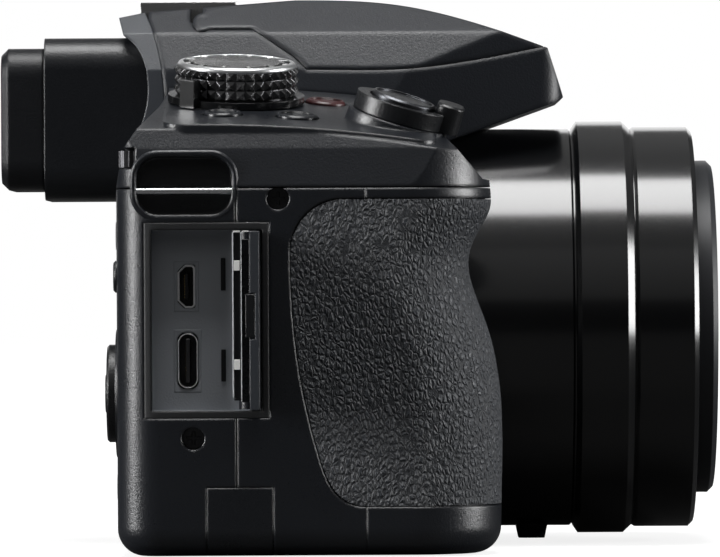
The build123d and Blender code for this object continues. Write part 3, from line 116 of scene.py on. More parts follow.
class Flow:
    """A value or colour in a node graph. Arithmetic on it adds Math nodes."""

    def __init__(self, graph: "Graph", socket: bpy.types.NodeSocket) -> None:
        """Wrap a socket of a graph."""
        self.graph = graph
        self.socket = socket

    def _math(self, operation: str, left: Any, right: Any) -> "Flow":
        """Add one Math node for two values or flows."""
        return self.graph.node("ShaderNodeMath", {"operation": operation}, {0: left, 1: right})

    def __add__(self, other: Any) -> "Flow":
        """Sum."""
        return self._math("ADD", self, other)

    def __radd__(self, other: Any) -> "Flow":
        """Sum, reflected."""
        return self._math("ADD", other, self)

    def __sub__(self, other: Any) -> "Flow":
        """Difference."""
        return self._math("SUBTRACT", self, other)

    def __rsub__(self, other: Any) -> "Flow":
        """Difference, reflected."""
        return self._math("SUBTRACT", other, self)

    def __mul__(self, other: Any) -> "Flow":
        """Product."""
        return self._math("MULTIPLY", self, other)

    def __rmul__(self, other: Any) -> "Flow":
        """Product, reflected."""
        return self._math("MULTIPLY", other, self)

    def smooth(self, low: float, high: float) -> "Flow":
        """Rise smoothly from 0 at the low value to 1 at the high one."""
        settings = {"interpolation_type": "SMOOTHSTEP"}
        return self.graph.node("ShaderNodeMapRange", settings, {"Value": self, 1: low, 2: high})

    def sway(self, reach: float) -> "Flow":
        """Turn 0 to 1 into a swing about 0 that reaches this far from end to end."""
        return (self - 0.5) * reach

    def ripple(self, pitch: float) -> "Flow":
        """Wave between 0 and 1 with this many crests to the metre."""
        turn = self * (2 * math.pi * pitch)
        return self.graph.node("ShaderNodeMath", {"operation": "SINE"}, {0: turn}) * 0.5 + 0.5

    def between(self, dark: Any, light: Any) -> "Flow":
        """Mix two colours: the dark one at 0, the light one at 1."""
        inputs = {0: self, MIX_DARK: dark, MIX_LIGHT: light}
        return self.graph.node("ShaderNodeMix", {"data_type": "RGBA"}, inputs, MIX_RESULT)


class Graph:
    """Node graph of one material or of the world."""

    def __init__(self, tree: bpy.types.NodeTree) -> None:
        """Start from a tree, which is emptied."""
        self.tree = tree
        tree.nodes.clear()

    def node(
        self,
        kind: str,
        settings: dict[str, Any] | None = None,
        inputs: dict[Any, Any] | None = None,
        output: int | str = 0,
    ) -> Flow:
        """Add any node.

        Args:
            kind: Node type.
            settings: Properties to set first.
            inputs: Values or flows by socket name or index.
            output: Name or index of the output that is wanted.

        Returns:
            That output, or the first input of a node that ends the graph.
        """
        made = self.tree.nodes.new(kind)
        for key, value in (settings or {}).items():
            setattr(made, key, value)
        for key, value in (inputs or {}).items():
            socket = made.inputs[key]
            if isinstance(value, Flow):
                self.tree.links.new(value.socket, socket)
            elif isinstance(value, tuple) and len(value) == 3 and socket.type == "RGBA":
                socket.default_value = (*value, 1.0)
            else:
                socket.default_value = value
        return Flow(self, made.outputs[output] if len(made.outputs) else made.inputs[0])

    def place(self) -> Flow:
        """Coordinates in metres on the piece itself."""
        return self.node("ShaderNodeTexCoord", output="Object")

    def vector(self, operation: str, *values: Any, output: str = "Vector") -> Flow:
        """Add one Vector Math node for vectors or flows."""
        inputs = dict(enumerate(values))
        return self.node("ShaderNodeVectorMath", {"operation": operation}, inputs, output)

    def along(self, vector: Flow, axis: str) -> Flow:
        """Return the X, Y or Z of a vector."""
        return self.node("ShaderNodeSeparateXYZ", None, {0: vector}, axis)

    def noise(self, vector: Flow, scale: float, detail: float = 3.0, rough: float = 0.55) -> Flow:
        """Cloudy value from 0 to 1.

        Args:
            vector: Where to read it.
            scale: Clouds to the metre.
            detail: Octaves.
            rough: Share of each further octave.

        Returns:
            The value.
        """
        inputs = {"Vector": vector, "Scale": scale, "Detail": detail, "Roughness": rough}
        return self.node("ShaderNodeTexNoise", None, inputs)

    def cells(self, vector: Flow, scale: float, kind: Cell = Cell.MIDDLE) -> Flow:
        """Distance to the nearest cell middle or edge, at this many cells to the metre."""
        inputs = {"Vector": vector, "Scale": scale}
        return self.node("ShaderNodeTexVoronoi", {"feature": kind.value}, inputs)

    def rounded(self, radius: float) -> Flow:
        """Normal that eases the sharp edges by a radius in metres."""
        return self.node("ShaderNodeBevel", {"samples": BEVEL_SAMPLES}, {"Radius": radius})

    def bump(self, height: Flow, depth: float, strength: float, normal: Flow | None = None) -> Flow:
        """Normal for a height.

        Args:
            height: Height from 0 to 1.
            depth: Depth in metres that 1 stands for.
            strength: Share of the effect.
            normal: Normal to start from.

        Returns:
            The bumped normal.
        """
        inputs: dict[Any, Any] = {"Strength": strength, "Distance": depth, "Height": height}
        if normal is not None:
            inputs["Normal"] = normal
        return self.node("ShaderNodeBump", None, inputs)

    def surface(self, inputs: dict[Any, Any]) -> None:
        """End the graph in a Principled shader with these values or flows by socket name."""
        shader = self.node("ShaderNodeBsdfPrincipled", None, inputs)
        self.node("ShaderNodeOutputMaterial", None, {"Surface": shader})


def material(name: str, paint: Callable[[Graph], None]) -> bpy.types.Material:
    """Make a material.

    Args:
        name: Its name.
        paint: Function that fills the node graph.

    Returns:
        The material.
    """
    made = bpy.data.materials.new(name)
    made.use_nodes = True
    paint(Graph(made.node_tree))
    return made


@dataclass(frozen=True)
class Finish:
    """A finish by its name and main colour. Each kind paints its own node graph."""

    name: str
    colour: Colour

    def build(self) -> bpy.types.Material:
        """Return the material."""
        return material(self.name, self._paint)

    def _shade(self, share: float, lift: float = 0.0) -> Colour:
        """Return the colour at a share of its brightness, with a lift on top."""
        return tuple(c * share + lift for c in self.colour)

    def _paint(self, graph: Graph) -> None:
        """Fill the material's graph, each kind of finish in its own way."""
        raise NotImplementedError


@dataclass(frozen=True)
class Moulded(Finish):
    """Moulded plastic with a fine spark-eroded grain, pale flecks of painted sparkle and eased
    edges.
    """

    rough: float = 0.5
    grain: float = 2600.0
    grain_depth: float = 0.0001
    # Strength of the pale flecks, a painted sparkle of the grain.
    sparkle_fleck: float = 0.25
    edge: float = 0.0005
    shine: float = 0.6
    clouds: float = 60.0
    grain_sway: float = 0.16
    cloud_sway: float = 0.06
    relief: float = 0.55

    def _paint(self, graph: Graph) -> None:
        """Fill the graph.

        Args:
            graph: The material's graph.
        """
        place = graph.place()
        grain = graph.noise(place, self.grain, 4.0, 0.65)
        cloud = graph.noise(place, self.clouds, 2.0)
        # Painted sparkle: pale specks in the colour stand in for glints off the grain.
        spark = graph.cells(place, self.grain * 1.3).smooth(0.3, 0.05) * self.sparkle_fleck
        tone = cloud.smooth(0.3, 0.7).between(self._shade(0.93), self.colour)
        sparkle_flecked = (spark * grain.smooth(0.45, 0.7)).between(tone, self._shade(1.28, 0.004))
        graph.surface({
            "Base Color": self._sunk(graph, place, sparkle_flecked),
            "Roughness": self.rough + grain.sway(self.grain_sway) + cloud.sway(self.cloud_sway),
            "Specular IOR Level": self.shine,
            "Normal": graph.bump(grain, self.grain_depth, self.relief, graph.rounded(self.edge)),
        })

    def _sunk(self, graph: Graph, place: Flow, colour: Flow) -> Flow:
        """Return the colour, which a plain part keeps where it is sunk in."""
        return colour


@dataclass(frozen=True)
class Stepped(Moulded):
    """Moulded plastic whose sunk floor is paler than its rim: partly its own lighter tone, partly
    painted light against the recess's shade.
    """

    # Colour of the sunk floor: a lighter grey, raised further as painted light for the shaded
    # recess.
    floor: Colour = (0.15, 0.158, 0.17)
    level: float = -71.6 * MM
    fade: float = 0.4 * MM

    def _sunk(self, graph: Graph, place: Flow, colour: Flow) -> Flow:
        """Return the colour, paler from the level inwards, partly as painted light."""
        floor_tone_and_light_mask = graph.along(place, "X").smooth(self.level - self.fade, self.level)
        return floor_tone_and_light_mask.between(colour, self.floor)


@dataclass(frozen=True)
class Pebbled(Finish):
    """Rubber skin with the creased pebbles of leather, its creases painted darker as shade."""

    pebble: float = 900.0
    depth: float = 0.0003
    rough: float = 0.46
    stretch: Point = (1.0, 1.35, 0.85)
    drift: float = 520.0
    drift_reach: float = 0.0013
    dust: float = 4200.0
    sway: float = 0.12

    def _paint(self, graph: Graph) -> None:
        """Fill the graph.

        Args:
            graph: The material's graph.
        """
        place = graph.vector("MULTIPLY", graph.place(), self.stretch)
        clouds = {"Vector": place, "Scale": self.drift, "Detail": 3.0}
        drift = graph.node("ShaderNodeTexNoise", None, clouds, output=1)
        away = graph.vector("MULTIPLY", drift, (self.drift_reach,) * 3)
        bent = graph.vector("ADD", place, away)
        crease = graph.cells(bent, self.pebble, Cell.EDGE).smooth(0.0, 0.3)
        small = graph.cells(bent, self.pebble * 2.2).smooth(0.75, 0.1)
        fine = graph.noise(place, self.dust, 3.0)
        height = crease * (0.55 + small * 0.45) + fine * 0.12
        graph.surface({
            # Painted shade: the creases are darker in colour.
            "Base Color": crease.between(self._shade(0.55), self.colour),
            "Roughness": self.rough + (1.0 - crease) * 0.25 + fine.sway(self.sway),
            "Normal": graph.bump(height, self.depth, 1.0),
        })


@dataclass(frozen=True)
class Lacquer(Finish):
    """Satin or gloss paint on a turned barrel."""

    rough: float = 0.2
    shine: float = 0.2
    edge: float = 0.0003
    coat: float = 0.76
    coat_index: float = 1.55
    coat_rough: float = 0.15
    clouds: float = 40.0
    peel: float = 900.0
    dust: float = 5200.0
    dust_depth: float = 0.00001
    relief: float = 0.35
    sway: float = 0.05

    def _paint(self, graph: Graph) -> None:
        """Fill the graph.

        Args:
            graph: The material's graph.
        """
        place = graph.place()
        peel = graph.noise(place, self.peel, 2.0)
        dust = graph.noise(place, self.dust, 3.0)
        graph.surface({
            "Base Color": graph.noise(place, self.clouds).between(self.colour, self._shade(1.15)),
            "Roughness": self.rough + peel.sway(self.sway) + dust.smooth(0.62, 0.8) * 0.06,
            "Specular IOR Level": self.shine,
            "Coat Weight": self.coat * (1.0 - dust.smooth(0.66, 0.78) * 0.25),
            "Coat IOR": self.coat_index,
            "Coat Roughness": self.coat_rough,
            "Normal": graph.bump(dust, self.dust_depth, self.relief, graph.rounded(self.edge)),
        })


@dataclass(frozen=True)
class Turned(Finish):
    """Metal turned round an axis, with its fine rings."""

    centre: Point = (0.0, 0.0, 0.0)
    axis: Point = (0.0, 0.0, 1.0)
    rough: float = 0.3
    metal: float = 1.0
    pitch: float = 5200.0
    edge: float = 0.0002
    ring_depth: float = 0.000012
    scratches: float = 1600.0
    relief: float = 0.5
    sway: float = 0.16

    def _paint(self, graph: Graph) -> None:
        """Fill the graph.

        Args:
            graph: The material's graph.
        """
        place = graph.place()
        offset = graph.vector("SUBTRACT", place, self.centre)
        across = graph.vector("CROSS_PRODUCT", offset, self.axis)
        ring = graph.vector("LENGTH", across, output="Value").ripple(self.pitch)
        scratch = graph.noise(place, self.scratches, 4.0)
        graph.surface({
            "Base Color": scratch.between(self._shade(0.82), self.colour),
            "Metallic": self.metal,
            "Roughness": self.rough + scratch.sway(self.sway),
            "Normal": graph.bump(ring, self.ring_depth, self.relief, graph.rounded(self.edge)),
        })


@dataclass(frozen=True)
class Brushed(Finish):
    """Metal brushed along one direction, worn brighter in streaks."""

    along: Point = (1.0, 0.03, 1.0)
    rough: float = 0.26
    edge: float = 0.0002
    streaks: float = 0.88
    metal: float = 1.0
    grain: float = 3600.0
    grain_depth: float = 0.00001
    relief: float = 0.4
    sway: float = 0.12

    def _paint(self, graph: Graph) -> None:
        """Fill the graph.

        Args:
            graph: The material's graph.
        """
        drawn = graph.vector("MULTIPLY", graph.place(), self.along)
        streak = graph.noise(drawn, self.grain, 3.0)
        graph.surface({
            "Base Color": streak.between(self._shade(self.streaks), self.colour),
            "Metallic": self.metal,
            "Roughness": self.rough + streak.sway(self.sway),
            "Normal": graph.bump(streak, self.grain_depth, self.relief, graph.rounded(self.edge)),
        })


@dataclass(frozen=True)
class Coated(Finish):
    """Clear tinted glass with a coating."""

    coat: Colour
    rough: float = 0.02
    smears: float = 70.0
    clear: float = 0.97
    index: float = 1.52
    coat_weight: float = 0.5
    blend: float = 0.4

    def _paint(self, graph: Graph) -> None:
        """Fill the graph.

        Args:
            graph: The material's graph.
        """
        smear = graph.noise(graph.place(), self.smears, 4.0).smooth(0.5, 0.8)
        facing = graph.node("ShaderNodeLayerWeight", None, {"Blend": self.blend}, output="Facing")
        graph.surface({
            "Base Color": facing.between(self.colour, self.coat),
            "Roughness": self.rough + smear * 0.05,
            "Transmission Weight": self.clear,
            "IOR": self.index,
            "Coat Weight": self.coat_weight,
        })


@dataclass(frozen=True)
class Screened(Finish):
    """Glossy dark panel with faint smears and dust."""

    rough: float = 0.06
    edge: float = 0.0003
    smears: float = 90.0
    smear_stretch: Point = (1.0, 1.0, 0.4)
    smear_depth: float = 0.000004
    dust: float = 6000.0
    relief: float = 0.2

    def _paint(self, graph: Graph) -> None:
        """Fill the graph.

        Args:
            graph: The material's graph.
        """
        place = graph.place()
        drawn = graph.vector("MULTIPLY", place, self.smear_stretch)
        smear = graph.noise(drawn, self.smears, 4.0).smooth(0.48, 0.8)
        dust = graph.noise(place, self.dust, 2.0).smooth(0.72, 0.8)
        graph.surface({
            "Base Color": dust.between(self.colour, self._shade(1.0, 0.01)),
            "Roughness": self.rough + smear * 0.09 + dust * 0.1,
            "Normal": graph.bump(smear, self.smear_depth, self.relief, graph.rounded(self.edge)),
        })


@dataclass(frozen=True)
class Ribbed(Finish):
    """Diffuser of a flash: milky plastic with fine ribs."""

    pitch: float = 1400.0
    rib_depth: float = 0.0002
    clear: float = 0.3
    clouds: float = 300.0
    grain: float = 2000.0
    relief: float = 0.8

    def _paint(self, graph: Graph) -> None:
        """Fill the graph.

        Args:
            graph: The material's graph.
        """
        place = graph.place()
        rib = graph.along(place, "X").ripple(self.pitch)
        graph.surface({
            "Base Color": graph.noise(place, self.clouds).between(self._shade(0.9), self.colour),
            "Roughness": 0.2 + graph.noise(place, self.grain) * 0.1,
            "Transmission Weight": self.clear,
            "Normal": graph.bump(rib, self.rib_depth, self.relief),
        })


@dataclass(frozen=True)
class Circuit(Finish):
    """Lacquered board with copper tracks under its mask."""

    track: Colour
    tracks: float = 500.0
    stretch: Point = (1.0, 1.0, 0.35)
    track_depth: float = 0.00003
    grain: float = 900.0
    relief: float = 0.5

    def _paint(self, graph: Graph) -> None:
        """Fill the graph.

        Args:
            graph: The material's graph.
        """
        place = graph.place()
        drawn = graph.vector("MULTIPLY", place, self.stretch)
        line = graph.cells(drawn, self.tracks, Cell.EDGE).smooth(0.08, 0.02)
        graph.surface({
            "Base Color": line.between(self.colour, self.track),
            "Roughness": 0.35 + graph.noise(place, self.grain) * 0.15,
            "Normal": graph.bump(line, self.track_depth, self.relief),
        })


@dataclass
class Workshop:
    """What the sub-assemblies share: the frame, its nodes and the finishes made so far."""

    frame: dict[str, Any]
    made: dict[Finish, bpy.types.Material] = field(default_factory=dict)
    pieces: list[str] = field(default_factory=list)

    def finish(self, finish: Finish) -> bpy.types.Material:
        """Return the material of a finish, made once.

        Args:
            finish: The finish.

        Returns:
            Its material.
        """
        if finish not in self.made:
            self.made[finish] = finish.build()
        return self.made[finish]

    def dress(self, finish: Finish, *nodes: str) -> None:
        """Give solids of the model a finish.

        Args:
            finish: The finish.
            nodes: Names of the model's nodes.
        """
        for name in nodes:
            solid = self.frame["nodes"][name]
            for slot in solid.material_slots:
                slot.material = self.finish(finish)
            self.pieces.append(name)

    def joint(self, name: str) -> tuple[Vector, Vector]:
        """Return the place and the axis of a joint."""
        found = next(j for j in self.frame["joints"] if j["name"] == name)
        return Vector(found.get("pos_m", (0, 0, 0))), Vector(found["axis"]).normalized()

    def piece(
        self,
        name: str,
        shape: bmesh.types.BMesh,
        finish: Finish,
        body: Body,
        slot: Slot,
        smooth: bool = True,
    ) -> bpy.types.Object:
        """Turn a mesh into a finished piece that rides on a body.

        Args:
            name: The piece's name.
            shape: Its mesh, in metres in the camera's frame.
            finish: Its finish.
            body: The body that carries it.
            slot: The record's slot for it; not used.
            smooth: Whether its faces are smooth.

        Returns:
            The object.
        """
        bmesh.ops.recalc_face_normals(shape, faces=shape.faces)
        mesh = bpy.data.meshes.new(name)
        shape.to_mesh(mesh)
        shape.free()
        for polygon in mesh.polygons:
            polygon.use_smooth = smooth
        made = bpy.data.objects.new(name, mesh)
        bpy.context.scene.collection.objects.link(made)
        mesh.materials.append(self.finish(finish))
        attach(made, body.value)
        self.pieces.append(name)
        return made


def framed(origin: Vector, axis: Vector, aside: Vector) -> Matrix:
    """Frame whose Z is an axis and whose X lies near a direction.

    Args:
        origin: Where the frame sits.
        axis: Its Z direction.
        aside: Direction that its X comes near.

    Returns:
        The matrix.
    """
    up = axis.normalized()
    side = (aside - up * aside.dot(up)).normalized()
    turn = Matrix((side, up.cross(side), up)).transposed().to_4x4()
    return Matrix.Translation(origin) @ turn


def knit(shape: bmesh.types.BMesh, rings: list[list[bmesh.types.BMVert]]) -> None:
    """Join rings of as many points into a closed surface, the last one to the first.

    Args:
        shape: Mesh that holds the points.
        rings: The rings in order.
    """
    for here, there in zip(rings, rings[1:] + rings[:1]):
        for i in range(len(here)):
            j = (i + 1) % len(here)
            shape.faces.new((here[i], here[j], there[j], there[i]))


def lathe(
    shape: bmesh.types.BMesh, profile: Sequence[Pair], place: Matrix, steps: int = 96
) -> None:
    """Add a turned form round a frame's Z axis.

    Args:
        shape: Mesh to add to.
        profile: Closed outline as (radius, height) in metres.
        place: Frame of the axis.
        steps: Segments round the axis.
    """
    rings = []
    for step in range(steps):
        angle = 2 * math.pi * step / steps
        across, up = math.cos(angle), math.sin(angle)
        rings.append([shape.verts.new(place @ Vector((r * across, r * up, h))) for r, h in profile])
    knit(shape, rings)


def bar(shape: bmesh.types.BMesh, place: Matrix, size: Point, ease: float) -> None:
    """Add a bar with eased edges, centred on a frame.

    Args:
        shape: Mesh to add to.
        place: Frame of its middle.
        size: Length, width and height in metres.
        ease: Radius of its edges in metres.
    """
    made = bmesh.ops.create_cube(shape, size=1.0)["verts"]
    for vert in made:
        vert.co = place @ Vector(c * s for c, s in zip(vert.co, size))
    edges = {edge for vert in made for edge in vert.link_edges}
    bmesh.ops.bevel(shape, geom=list(edges), offset=ease, segments=2, profile=0.6, affect="EDGES")


def on_arc(centre: Pair, radius: float, angle: float) -> Pair:
    """Return the point of a circle at an angle."""
    return centre[0] + radius * math.cos(angle), centre[1] + radius * math.sin(angle)


def outline(middle: Pair, size: Pair, bends: Sequence[Corner], steps: int = 6) -> list[Pair]:
    """Outline of a rectangle with rounded or cut corners, in the side plane.

    Args:
        middle: Its middle as (y, z).
        size: Its width along Y and height along Z.
        bends: Its corners, from the back top one round by the front.
        steps: Points to a corner, less one.

    Returns:
        The points in order.
    """
    points = []
    ways = ((1, 1), (-1, 1), (-1, -1), (1, -1))
    for index, ((radius, cut), way) in enumerate(zip(bends, ways)):
        centre = tuple(m + w * (s / 2 - radius) for m, w, s in zip(middle, way, size))
        start = index * math.pi / 2
        first, last = (on_arc(centre, radius, start + turn) for turn in (0.0, math.pi / 2))
        for step in range(steps + 1):
            share = step / steps
            if cut:
                points.append(tuple(a + (b - a) * share for a, b in zip(first, last)))
            else:
                points.append(on_arc(centre, radius, start + share * math.pi / 2))
    return points


def band(
    shape: bmesh.types.BMesh,
    outer: Sequence[Pair],
    inner: Sequence[Pair],
    near: float,
    far: float,
    ease: float,
) -> None:
    """Add a band between two outlines of as many points, with an eased near face.

    Args:
        shape: Mesh to add to.
        outer: Outer outline as (y, z).
        inner: Inner outline as (y, z).
        near: X of the face that is seen.
        far: X of its back.
        ease: Depth of the eased edge.
    """
    step = math.copysign(ease, far - near)
    middle = [((a[0] + b[0]) / 2, (a[1] + b[1]) / 2) for a, b in zip(outer, inner)]
    rows = ((outer, far), (outer, near + step), (middle, near), (inner, near + step), (inner, far))
    knit(shape, [[shape.verts.new((x, y, z)) for y, z in points] for points, x in rows])


# What the smallest moulded pieces share: hardly any grain and no flecks of painted sparkle.
FINE: dict[str, float] = {"grain_depth": 0.00001, "sparkle_fleck": 0.0}

BODY_PLASTIC = Moulded("charcoal_plastic", (0.0068, 0.0082, 0.0112), rough=0.3, edge=0.0007)
HUMP_PLASTIC = Moulded(
    "hump_plastic", (0.0105, 0.0122, 0.0158), rough=0.34, sparkle_fleck=0.32, edge=0.0013, shine=0.42
)
SMOOTH_PLASTIC = Moulded(
    "smooth_plastic", (0.0066, 0.0078, 0.0104), rough=0.29, grain_depth=0.00002, sparkle_fleck=0.1
)
FINDER_PLASTIC = Moulded(
    "finder_plastic", (0.0032, 0.004, 0.0058), rough=0.33, grain_depth=0.00009, sparkle_fleck=0.2, shine=0.5
)
COLLAR_PLASTIC = Moulded("collar_plastic", (0.028, 0.032, 0.039), rough=0.42)
DARK_PLASTIC = Moulded(
    "dark_plastic", (0.005, 0.0056, 0.0068), rough=0.3, sparkle_fleck=0.1, edge=0.0003, shine=0.5
)
# Its floor is paler partly in its own tone and partly as painted light for the shaded recess.
TRAY_PLASTIC = Stepped(
    "tray_plastic", (0.006, 0.0066, 0.0078), rough=0.5, sparkle_fleck=0.1, floor=(0.37, 0.39, 0.42)
)
GRIP_RUBBER = Pebbled("pebbled_rubber", (0.037, 0.041, 0.048))
SOFT_RUBBER = Moulded(
    "soft_rubber", (0.0028, 0.0034, 0.0048), rough=0.38, sparkle_fleck=0.05, edge=0.0008, shine=0.4
)
BARREL_LACQUER = Lacquer("barrel_lacquer", (0.003, 0.0032, 0.0036), rough=0.2)
RING_SATIN = Lacquer("ring_satin", (0.016, 0.017, 0.0195), rough=0.42, coat=0.15, coat_rough=0.4)
TUBE_SATIN = Lacquer("tube_satin", (0.005, 0.0052, 0.006), rough=0.3, coat=0.5, coat_rough=0.25)
STEEL = Brushed("brushed_steel", (0.72, 0.73, 0.75))
DARK_STEEL = Brushed("dark_screw", (0.1, 0.1, 0.105), rough=0.4)
POLISHED = Brushed(
    "polished_edge", (0.86, 0.87, 0.88), along=(1.0, 1.0, 1.0), rough=0.3, streaks=0.95
)
# Socket rims: near-white and mostly not metallic, so the colour paints the highlight that their
# steel would catch.
NICKEL_PAINTED_HIGHLIGHT = Brushed(
    "nickel_painted_highlight", (0.95, 0.95, 0.96), along=(1.0, 1.0, 1.0), rough=0.32, streaks=0.97, metal=0.15
)
SHOE_STEEL = Brushed("shoe_steel", (0.4, 0.4, 0.4), rough=0.24, edge=0.0005, metal=0.9)
DOOR_PLASTIC = Moulded(
    "door_plastic", (0.0052, 0.0062, 0.0086), rough=0.28, sparkle_fleck=0.1, edge=0.0002, shine=0.4
)
FACE_PLASTIC = Moulded("door_face", (0.026, 0.03, 0.037), rough=0.42, sparkle_fleck=0.15, edge=0.0003)
# Pale patches on the door; the thin caps among them paint the highlight at the top of the bead.
PAD_PLASTIC = Moulded("pale_pads", (0.8, 0.8, 0.78), edge=0.0001, **FINE)
# Pale grey lines that paint the highlights along the door's bead.
BEAD_HIGHLIGHT = Moulded("door_bead_highlight", (0.6, 0.62, 0.64), rough=0.4, edge=0.0001, **FINE)
PRINT = Moulded("white_print", (0.72, 0.72, 0.72), edge=0.0001, **FINE)
RED_PLASTIC = Moulded("red_button", (0.04, 0.005, 0.006), rough=0.35, **FINE)
GOLD = Brushed("gold_contact", (0.83, 0.6, 0.26), rough=0.2)
GLASS = Coated("coated_glass", (0.42, 0.46, 0.55), (0.2, 0.12, 0.3))
SCREEN = Screened("screen_glass", (0.004, 0.004, 0.005))
SENSOR = Screened("sensor_glass", (0.01, 0.02, 0.035))
DIFFUSER = Ribbed("flash_diffuser", (0.72, 0.73, 0.75))
BOARD = Circuit("circuit_board", (0.01, 0.06, 0.03), (0.04, 0.14, 0.07))


@dataclass
class Casing:
    """Moulded shells, grip, base and what holds them."""

    shop: Workshop
    screen_side: Pair = (-24 * MM, 46 * MM)
    screen_rise: Pair = (6 * MM, 56.5 * MM)
    back: float = 33 * MM
    border: float = 1.1 * MM
    border_thick: float = 0.5 * MM
    border_ease: float = 0.2 * MM
    lip_faces: tuple[tuple[str, float], ...] = (
        ("strap_lip_right", -75.62 * MM),
        ("strap_lip_left", 53.1 * MM),
    )
    lip_middle: Pair = (21.4 * MM, 62.2 * MM)
    lip_size: Pair = (16.0 * MM, 9.8 * MM)
    lip_radius: float = 3.6 * MM
    lip_width: float = 1.1 * MM
    lip_depth: float = 1.3 * MM
    lip_ease: float = 0.42 * MM
    lip_steps: int = 10

    def build(self) -> None:
        """Dress the casing and add its small trim."""
        shop = self.shop
        shop.dress(BODY_PLASTIC, "front_case", "handgrip", "rear_case", "top_cover")
        shop.dress(GRIP_RUBBER, "grip_leather")
        shop.dress(
            SMOOTH_PLASTIC, "coupler_flap", "battery_door", "base_plate", "battery_box", "door_lock"
        )
        shop.dress(STEEL, "tripod_bush", "chassis", "strap_bar_right", "strap_bar_left")
        shop.dress(DARK_STEEL, "screws")
        shop.dress(SCREEN, "display_glass", "display_panel")
        shop.dress(DARK_PLASTIC, "battery", "memory_card")
        shop.dress(BOARD, "main_board")
        self._screen_frame()
        for name, face in self.lip_faces:
            self._strap_lip(name, face)

    def _strap_lip(self, name: str, face: float) -> None:
        """Rounded lip round a strap recess.

        Args:
            name: The piece's name.
            face: X of its outer face.
        """
        middle, size = self.lip_middle, self.lip_size
        radius, steps = self.lip_radius, self.lip_steps
        wide = tuple(c + 2 * self.lip_width for c in size)
        outer = outline(middle, wide, [Corner(radius + self.lip_width)] * 4, steps)
        inner = outline(middle, size, [Corner(radius)] * 4, steps)
        floor = face - math.copysign(self.lip_depth, face)
        shape = bmesh.new()
        band(shape, outer, inner, face, floor, self.lip_ease)
        self.shop.piece(name, shape, BODY_PLASTIC, Body.CAMERA, Slot.BODY)

    def _screen_frame(self) -> None:
        """Thin raised frame round the screen."""
        low, high = self.screen_side
        floor, top = self.screen_rise
        width, height = high - low, top - floor
        middle = Vector(((low + high) / 2, self.back, (floor + top) / 2))
        rail = (width + 2 * self.border, self.border_thick, self.border)
        post = (self.border, self.border_thick, height)
        shape = bmesh.new()
        for side in (-1, 1):
            above = Vector((0, 0, side * (height + self.border) / 2))
            beside = Vector((side * (width + self.border) / 2, 0, 0))
            bar(shape, Matrix.Translation(middle + above), rail, self.border_ease)
            bar(shape, Matrix.Translation(middle + beside), post, self.border_ease)
        self.shop.piece("screen_frame", shape, DARK_PLASTIC, Body.CAMERA, Slot.BODY)


@dataclass
class Finder:
    """Viewfinder, hump, flash and shoe."""

    shop: Workshop

    def build(self) -> None:
        """Dress the hump and everything on it."""
        shop = self.shop
        shop.dress(HUMP_PLASTIC, "hump_housing", "flash_lid")
        shop.dress(FINDER_PLASTIC, "viewfinder_housing")
        shop.dress(COLLAR_PLASTIC, "viewfinder_collar")
        shop.dress(SOFT_RUBBER, "eyecup")
        shop.dress(GLASS, "eyepiece_lens")
        shop.dress(SENSOR, "viewfinder_display")
        shop.dress(DARK_PLASTIC, "flash_head")
        shop.dress(DIFFUSER, "flash_window")
        shop.dress(SHOE_STEEL, "hot_shoe")
        shop.dress(STEEL, "lid_pins")
        shop.dress(GOLD, "shoe_contacts")
        shop.dress(DARK_PLASTIC, "diopter_dial")


@dataclass
class Lens:
    """Fixed barrel with its rings, the two tubes and the glass."""

    shop: Workshop
    axis_height: float = 37.7 * MM
    baffle_radii: tuple[float, ...] = (25.2 * MM, 24.6 * MM, 24.0 * MM)
    baffle_start: float = 66.0 * MM
    baffle_pitch: float = 0.5 * MM
    baffle_width: float = 0.5 * MM
    baffle_depth: float = 0.4 * MM
    baffle_crest: float = 0.12 * MM

    def build(self) -> None:
        """Dress the lens and add the ribs round its front glass."""
        shop = self.shop
        shop.dress(BARREL_LACQUER, "lens_barrel", "barrel_ring", "front_ring")
        shop.dress(RING_SATIN, "front_barrel", "front_trim")
        shop.dress(TUBE_SATIN, "middle_barrel")
        shop.dress(SMOOTH_PLASTIC, "barrel_foot")
        shop.dress(GLASS, "front_element", "rear_lens_group")
        shop.dress(SENSOR, "image_sensor")
        self._baffles()

    def _baffles(self) -> None:
        """Fine steps on the slope round the front glass."""
        place = framed(Vector((0, 0, self.axis_height)), Vector((0, -1, 0)), Vector((1, 0, 0)))
        shape = bmesh.new()
        for index, inner in enumerate(self.baffle_radii):
            top = self.baffle_start - index * self.baffle_pitch
            outer, foot = inner + self.baffle_width, top - self.baffle_depth
            crest = (inner + self.baffle_width / 2, top + self.baffle_crest)
            lathe(shape, ((inner, foot), (outer, foot), (outer, top), crest, (inner, top)), place)
        self.shop.piece("front_baffles", shape, TUBE_SATIN, Body.FRONT_TUBE, Slot.TUBE)


